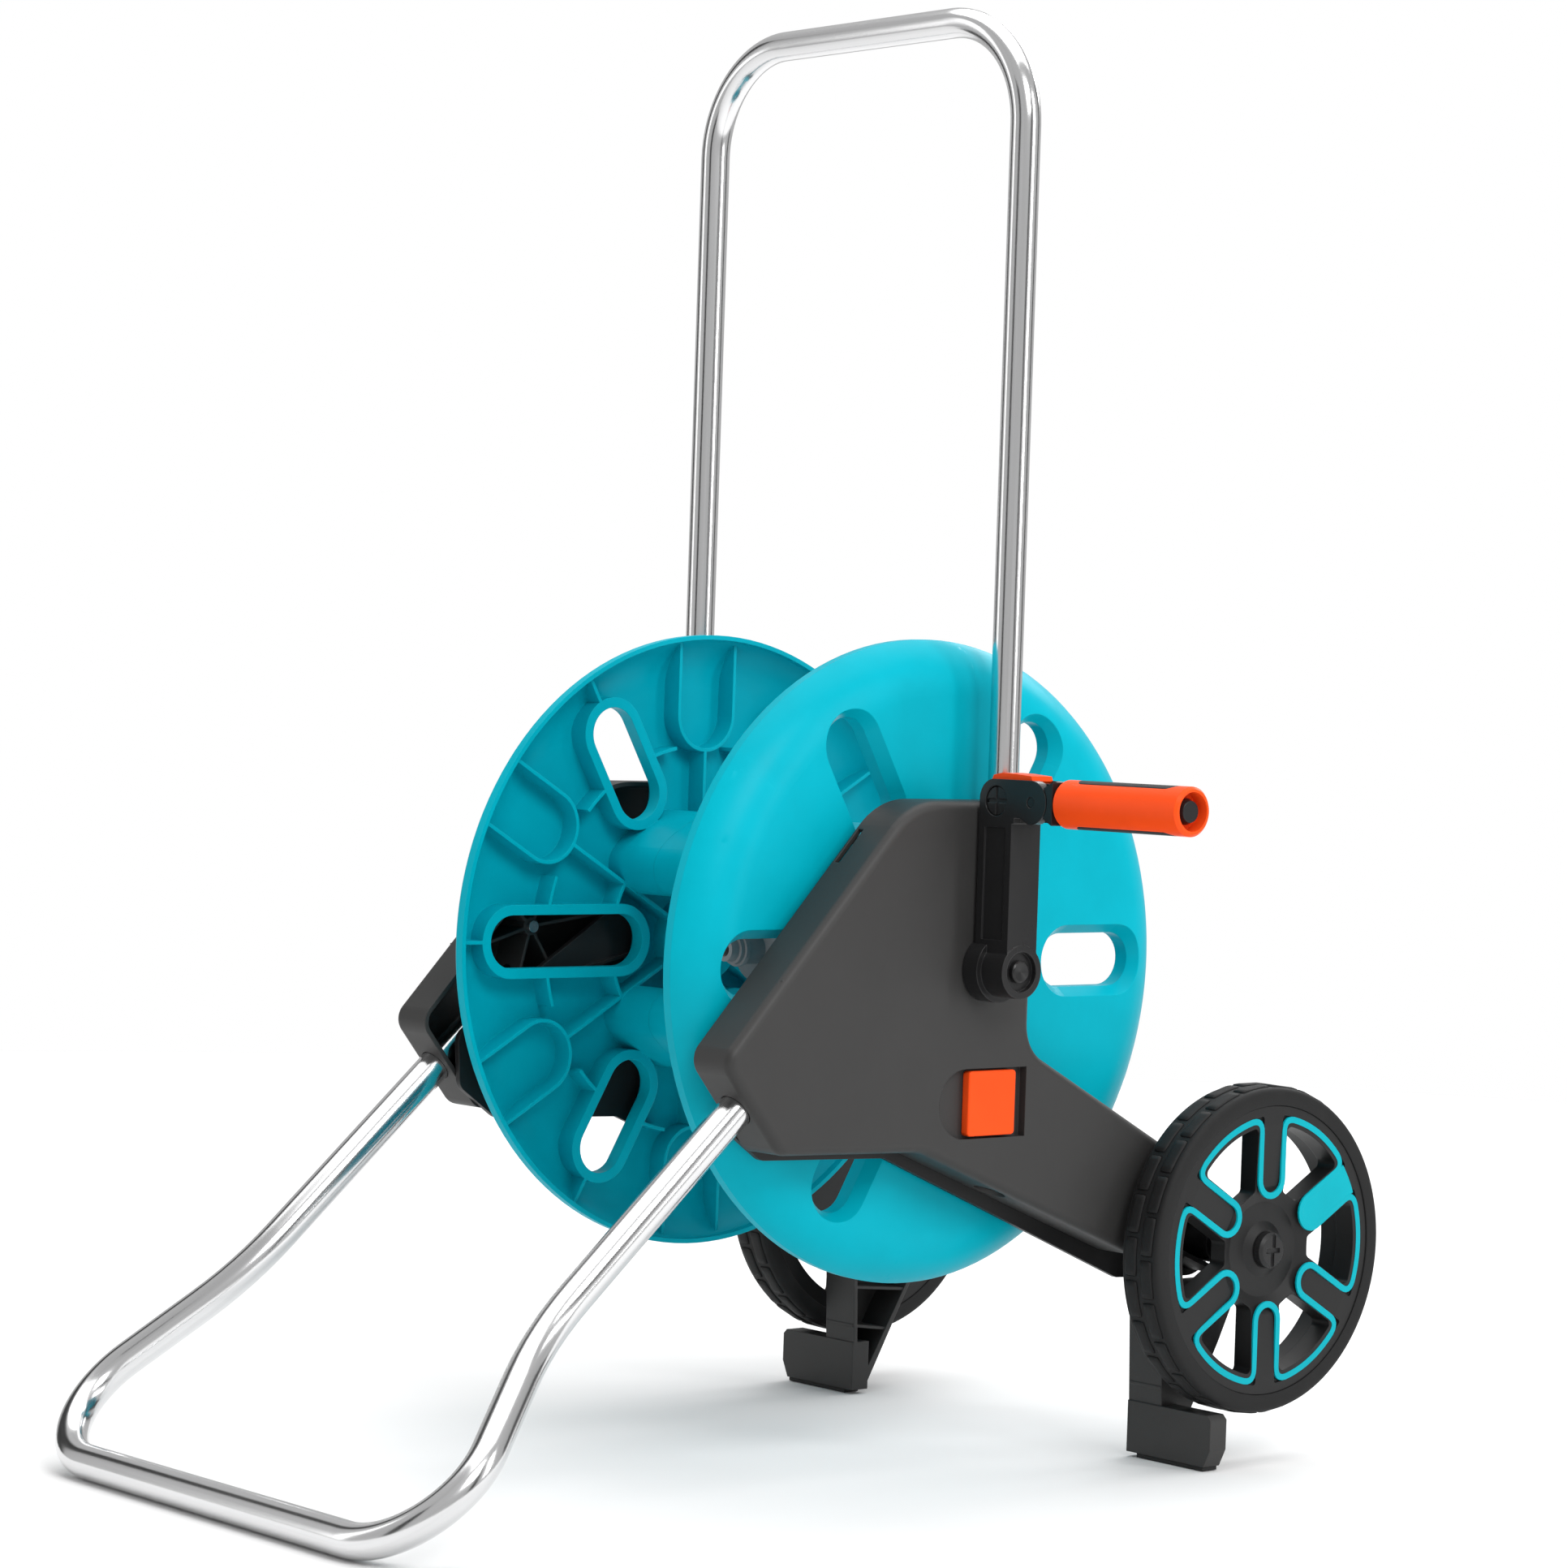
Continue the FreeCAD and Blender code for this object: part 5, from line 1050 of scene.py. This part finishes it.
    def map_along(self, piece: bpy.types.Object, lengths: list[float]) -> None:
        """Give the piece a UV map: U once round the tube, V in metres along it.

        Args:
            piece: The swept tube.
            lengths: The length at each ring.
        """
        layer = piece.data.uv_layers.new(name="along")
        for face in piece.data.polygons:
            sides = [piece.data.loops[loop].vertex_index % self.sides for loop in face.loop_indices]
            wraps = max(sides) - min(sides) > self.sides / 2 and len(sides) == 4
            for loop, side in zip(face.loop_indices, sides):
                ring = piece.data.loops[loop].vertex_index // self.sides
                around = (side + self.sides if wraps and side < self.sides / 2 else side) / self.sides
                layer.data[loop].uv = (around, lengths[ring])


@dataclass
class TubeWork:
    """The sliding handle and the stand, both bent from one tube."""

    palette: Palette
    middle: float = -0.060
    leg: float = 0.141
    handle_y: float = 0.08355
    handle_top: float = 0.8608
    handle_tail: float = 0.232
    handle_bend: float = 0.065
    handle_radius: float = 0.009
    stand_y: float = -0.35925
    stand_slope: float = 41.5
    stand_half: float = 0.2073
    stand_splay: float = 0.149
    stand_run: float = 0.402
    stand_radius: float = 0.010
    stand_corner: float = 0.052
    stand_bend: float = 0.150

    def on_slope(self, across: float, along: float) -> Vector:
        """Give a point on the stand's sloping plane.

        Args:
            across: Distance from the cart's middle plane.
            along: Distance up the slope from the front bar.

        Returns:
            The point in the row's frame.
        """
        tilt = math.radians(self.stand_slope)
        return Vector((self.middle + across, self.stand_y + along * math.cos(tilt),
                       self.stand_radius + along * math.sin(tilt)))

    def build(self) -> None:
        """Sweep both tubes."""
        left, right = self.middle - self.leg, self.middle + self.leg
        BentTube("handle", "handle_tube", "handle", self.handle_radius,
                 [Vector((x, self.handle_y, z)) for x, z in (
                     (right, self.handle_tail), (right, self.handle_top),
                     (left, self.handle_top), (left, self.handle_tail))],
                 [self.handle_bend] * 2, self.palette, dimples=(0.185,)).build()
        sides = [(self.leg, self.stand_run), (self.leg, self.stand_splay), (self.stand_half, 0.0)]
        path = [self.on_slope(a, b) for a, b in sides] + [self.on_slope(-a, b) for a, b in reversed(sides)]
        BentTube("stand", "stand_tube", "cart", self.stand_radius, path,
                 [self.stand_bend, self.stand_corner, self.stand_corner, self.stand_bend], self.palette,
                 dimples=(0.05, 0.10)).build()


@dataclass
class InletRibs:
    """Grip ribs round the tap-side coupling on the left cover."""

    palette: Palette
    count: int = 28
    length: float = 0.0300
    width: float = 0.0016
    height: float = 0.0022
    radius: float = 0.0168
    inset: float = 0.0045
    axis_height: float = 0.3035
    crease: float = 0.7

    def build(self) -> None:
        """Set the ribs round the coupling and make them one piece."""
        low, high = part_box("inlet_connector")
        axis = Vector((low[0] + self.inset + self.length / 2, (low[1] + high[1]) / 2, self.axis_height))
        sheet = TreeSheet("inlet_ribs", {
            "Rib Count": self.count, "Rib Length": self.length, "Rib Width": self.width,
            "Rib Height": self.height, "Ring Radius": self.radius})
        rib = sheet.node("GeometryNodeMeshCube", None, {"Size": sheet.vector(
            sheet.size("Rib Length"), sheet.size("Rib Width"), sheet.size("Rib Height"))})
        soft = sheet.node("GeometryNodeSubdivisionSurface", None,
                          {"Mesh": rib.outputs["Mesh"], "Level": 2, "Edge Crease": self.crease})
        ribs = sheet.round_ring(soft.outputs[0], "Rib Count", "Ring Radius")
        set_down = sheet.node("GeometryNodeTransform", None, {"Geometry": ribs, "Translation": tuple(axis)})
        sheet.close([set_down.outputs[0]], self.palette.take(self.palette.black))
        piece = new_piece("inlet_grip_ribs", [], [])
        sheet.apply(piece)
        smooth(piece, 45.0)
        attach(piece, "cart")
        log.info("inlet ribs: %d", self.count)


@dataclass
class MouldedParts:
    """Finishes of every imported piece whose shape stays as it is."""

    frame: dict[str, Any]
    palette: Palette

    def plan(self) -> dict[str, Finish]:
        """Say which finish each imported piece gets.

        Returns:
            Finishes by node name.
        """
        pal = self.palette
        plan: dict[str, Finish] = {
            "drum_flange_right": pal.teal, "drum_flange_left": pal.teal, "drum_shaft": pal.shaft,
            "hose_connector": pal.nozzle, "inlet_connector": pal.black, "inlet_seals": pal.seal,
            "crank_arm": pal.gloss_black, "crank_hub_plug": pal.gloss_black, "crank_latch": pal.orange,
            "latch_pin": pal.gloss_black, "fold_pin": pal.gloss_black, "latch_spring": pal.steel,
            "grip_neck": pal.gloss_black, "grip_snap": pal.gloss_black, "crank_grip": pal.orange,
            "grip_inlays": pal.grip}
        for side in Side:
            plan.update({f"{side.word}_{name}": finish for name, finish in (
                ("side_cover", pal.grey), ("inner_frame", pal.black), ("foot", pal.grey),
                ("foot_sole", pal.seal), ("slider_button", pal.orange), ("slider_spring", pal.steel),
                ("bush", pal.natural),
                ("wheel_axle", pal.black), ("wheel_rim", pal.rim_black), ("wheel_inlay", pal.inlay_teal),
                ("wheel_clip", pal.black), ("cover_screw", pal.steel))})
        return plan

    def build(self) -> None:
        """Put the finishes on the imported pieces."""
        for name, finish in self.plan().items():
            dress(self.frame["nodes"][name], self.palette.take(finish))
            log.info("%s: %s", name, finish.name)


@dataclass
class Softbox:
    """One rectangular light of the studio."""

    name: str
    place: Point
    aim: Point
    width: float
    height: float
    power: float

    def build(self) -> None:
        """Add the light and turn it to its aim."""
        lamp = bpy.data.lights.new(self.name, "AREA")
        lamp.shape = "RECTANGLE"
        lamp.size, lamp.size_y = self.width, self.height
        lamp.energy = self.power
        holder = bpy.data.objects.new(self.name, lamp)
        holder.visible_camera = False
        holder.location = self.place
        holder.rotation_euler = (Vector(self.aim) - Vector(self.place)).to_track_quat("-Z", "Y").to_euler()
        bpy.context.scene.collection.objects.link(holder)


@dataclass
class DarkCard:
    """One dark card beside the object, which only shows as a dark band in the polished tubes."""

    name: str
    place: Point
    aim: Point
    width: float
    height: float
    weave_scale: float = 400.0
    felt_dark: Colour = (0.008, 0.008, 0.008)
    felt_light: Colour = (0.014, 0.014, 0.014)

    def build(self) -> None:
        """Add the card, turned to its aim and out of the camera's sight."""
        ahead = (Vector(self.aim) - Vector(self.place)).normalized()
        across = ahead.cross(Vector((0, 0, 1))).normalized() * self.width / 2
        upward = across.cross(ahead).normalized() * self.height / 2
        middle = Vector(self.place)
        corners = [middle - across - upward, middle + across - upward,
                   middle + across + upward, middle - across + upward]
        card = new_piece(self.name, corners, [list(range(len(corners)))])
        sheet = ShaderSheet(self.name + "_felt")
        weave = sheet.noise(sheet.place(), self.weave_scale)
        sheet.wire(Base_Color=sheet.mix(weave, self.felt_dark, self.felt_light), Roughness=0.95)
        dress(card, sheet.material)
        card.visible_camera = False
        card.visible_shadow = False
        card.visible_diffuse = False


@dataclass
class Studio:
    """Pale floor, soft light, dark cards and the camera."""

    floor_radius: float = 2.7
    floor_sides: int = 96
    floor_drop: float = 0.0005
    floor_colour: Colour = (0.82, 0.82, 0.82)
    camera_place: Point = (1.885671, -1.653837, 0.463967)
    azimuth: float = 49.034
    elevation: float = 1.328
    roll: float = 1.898
    lens: float = 98.017
    sensor: float = 36.0
    sight: float = 300.0
    sky: float = 0.56
    backdrop: float = 1.0

    def build_floor(self) -> None:
        """Lay the floor."""
        count, radius = self.floor_sides, self.floor_radius
        turns = [2 * math.pi * step / count for step in range(count)]
        rim = [(radius * math.cos(turn), radius * math.sin(turn), -self.floor_drop) for turn in turns]
        floor = new_piece("studio_floor", rim, [list(range(count))])
        dress(floor, StudioPaint("studio_paint", self.floor_colour).make())

    def build_sky(self) -> None:
        """Fill the room with even light, and show the camera a plain white backdrop."""
        world = bpy.data.worlds.new("studio_sky")
        world.use_nodes = True
        tree = world.node_tree
        back, seen = tree.nodes["Background"], tree.nodes.new("ShaderNodeBackground")
        for node, strength in ((back, self.sky), (seen, self.backdrop)):
            node.inputs["Color"].default_value = (1.0, 1.0, 1.0, 1.0)
            node.inputs["Strength"].default_value = strength
        path = tree.nodes.new("ShaderNodeLightPath")
        choice = tree.nodes.new("ShaderNodeMixShader")
        tree.links.new(path.outputs["Is Camera Ray"], choice.inputs[0])
        tree.links.new(back.outputs[0], choice.inputs[1])
        tree.links.new(seen.outputs[0], choice.inputs[2])
        tree.links.new(choice.outputs[0], tree.nodes["World Output"].inputs["Surface"])
        bpy.context.scene.world = world

    def build_camera(self) -> None:
        """Stand the camera at its place, turned by azimuth, elevation and roll."""
        turn, lift, roll = (math.radians(angle) for angle in (self.azimuth, self.elevation, self.roll))
        ahead = Vector((-math.sin(turn) * math.cos(lift), math.cos(turn) * math.cos(lift), -math.sin(lift)))
        right = ahead.cross(Vector((0, 0, 1))).normalized()
        up = right.cross(ahead)
        right, up = (right * math.cos(roll) + up * math.sin(roll),
                     up * math.cos(roll) - right * math.sin(roll))
        camera = bpy.data.objects.new("studio_camera", bpy.data.cameras.new("studio_camera"))
        camera.data.lens = self.lens
        camera.data.sensor_width = self.sensor
        camera.data.clip_end = self.sight
        rows = [(right[axis], up[axis], -ahead[axis], self.camera_place[axis]) for axis in range(3)]
        camera.matrix_world = Matrix((*rows, (0.0, 0.0, 0.0, 1.0)))
        bpy.context.scene.collection.objects.link(camera)
        bpy.context.scene.camera = camera

    def build(self) -> None:
        """Set up the floor, sky, camera, softboxes and dark cards."""
        self.build_floor()
        self.build_sky()
        self.build_camera()
        for box in (Softbox("key_softbox", (2.9, -0.7, 2.5), (0.0, 0.0, 0.35), 1.4, 1.4, 60.0),
                    Softbox("left_strip", (-2.2, -2.4, 1.3), (0.0, 0.0, 0.4), 0.6, 2.4, 7.0),
                    Softbox("back_strip", (-0.8, 2.8, 2.0), (0.0, 0.0, 0.5), 2.4, 0.7, 30.0),
                    Softbox("right_strip", (2.9, 1.4, 1.5), (0.0, 0.0, 0.4), 0.5, 2.0, 26.0),
                    Softbox("overhead", (-0.5, 0.8, 4.2), (-0.5, 0.8, 0.0), 5.0, 5.0, 165.0)):
            box.build()
        for card in (DarkCard("left_card", (-1.9, -0.6, 0.9), (0.0, 0.0, 0.6), 0.55, 2.0),
                     DarkCard("front_card", (0.2, -2.9, 1.0), (0.0, 0.0, 0.6), 0.7, 2.2),
                     DarkCard("right_card", (2.6, 0.1, 1.1), (0.0, 0.0, 0.6), 0.5, 2.0),
                     DarkCard("back_card", (0.9, 2.3, 1.1), (0.0, 0.0, 0.6), 0.5, 2.0)):
            card.build()
        view = bpy.context.scene.view_settings
        view.view_transform = "Standard"
        view.exposure = 0.0
        log.info("studio ready")


def main() -> None:
    """Load the frame, build the looks in order and report each piece."""
    logging.basicConfig(level=logging.INFO, format="%(name)s: %(message)s")
    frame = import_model()
    palette = Palette()
    Studio().build()
    MouldedParts(frame, palette).build()
    TubeWork(palette).build()
    for side in Side:
        Tyre(side, palette).build()
        WheelInlay(side, palette).build()
    InletRibs(palette).build()


if __name__ == "__main__":
    main()
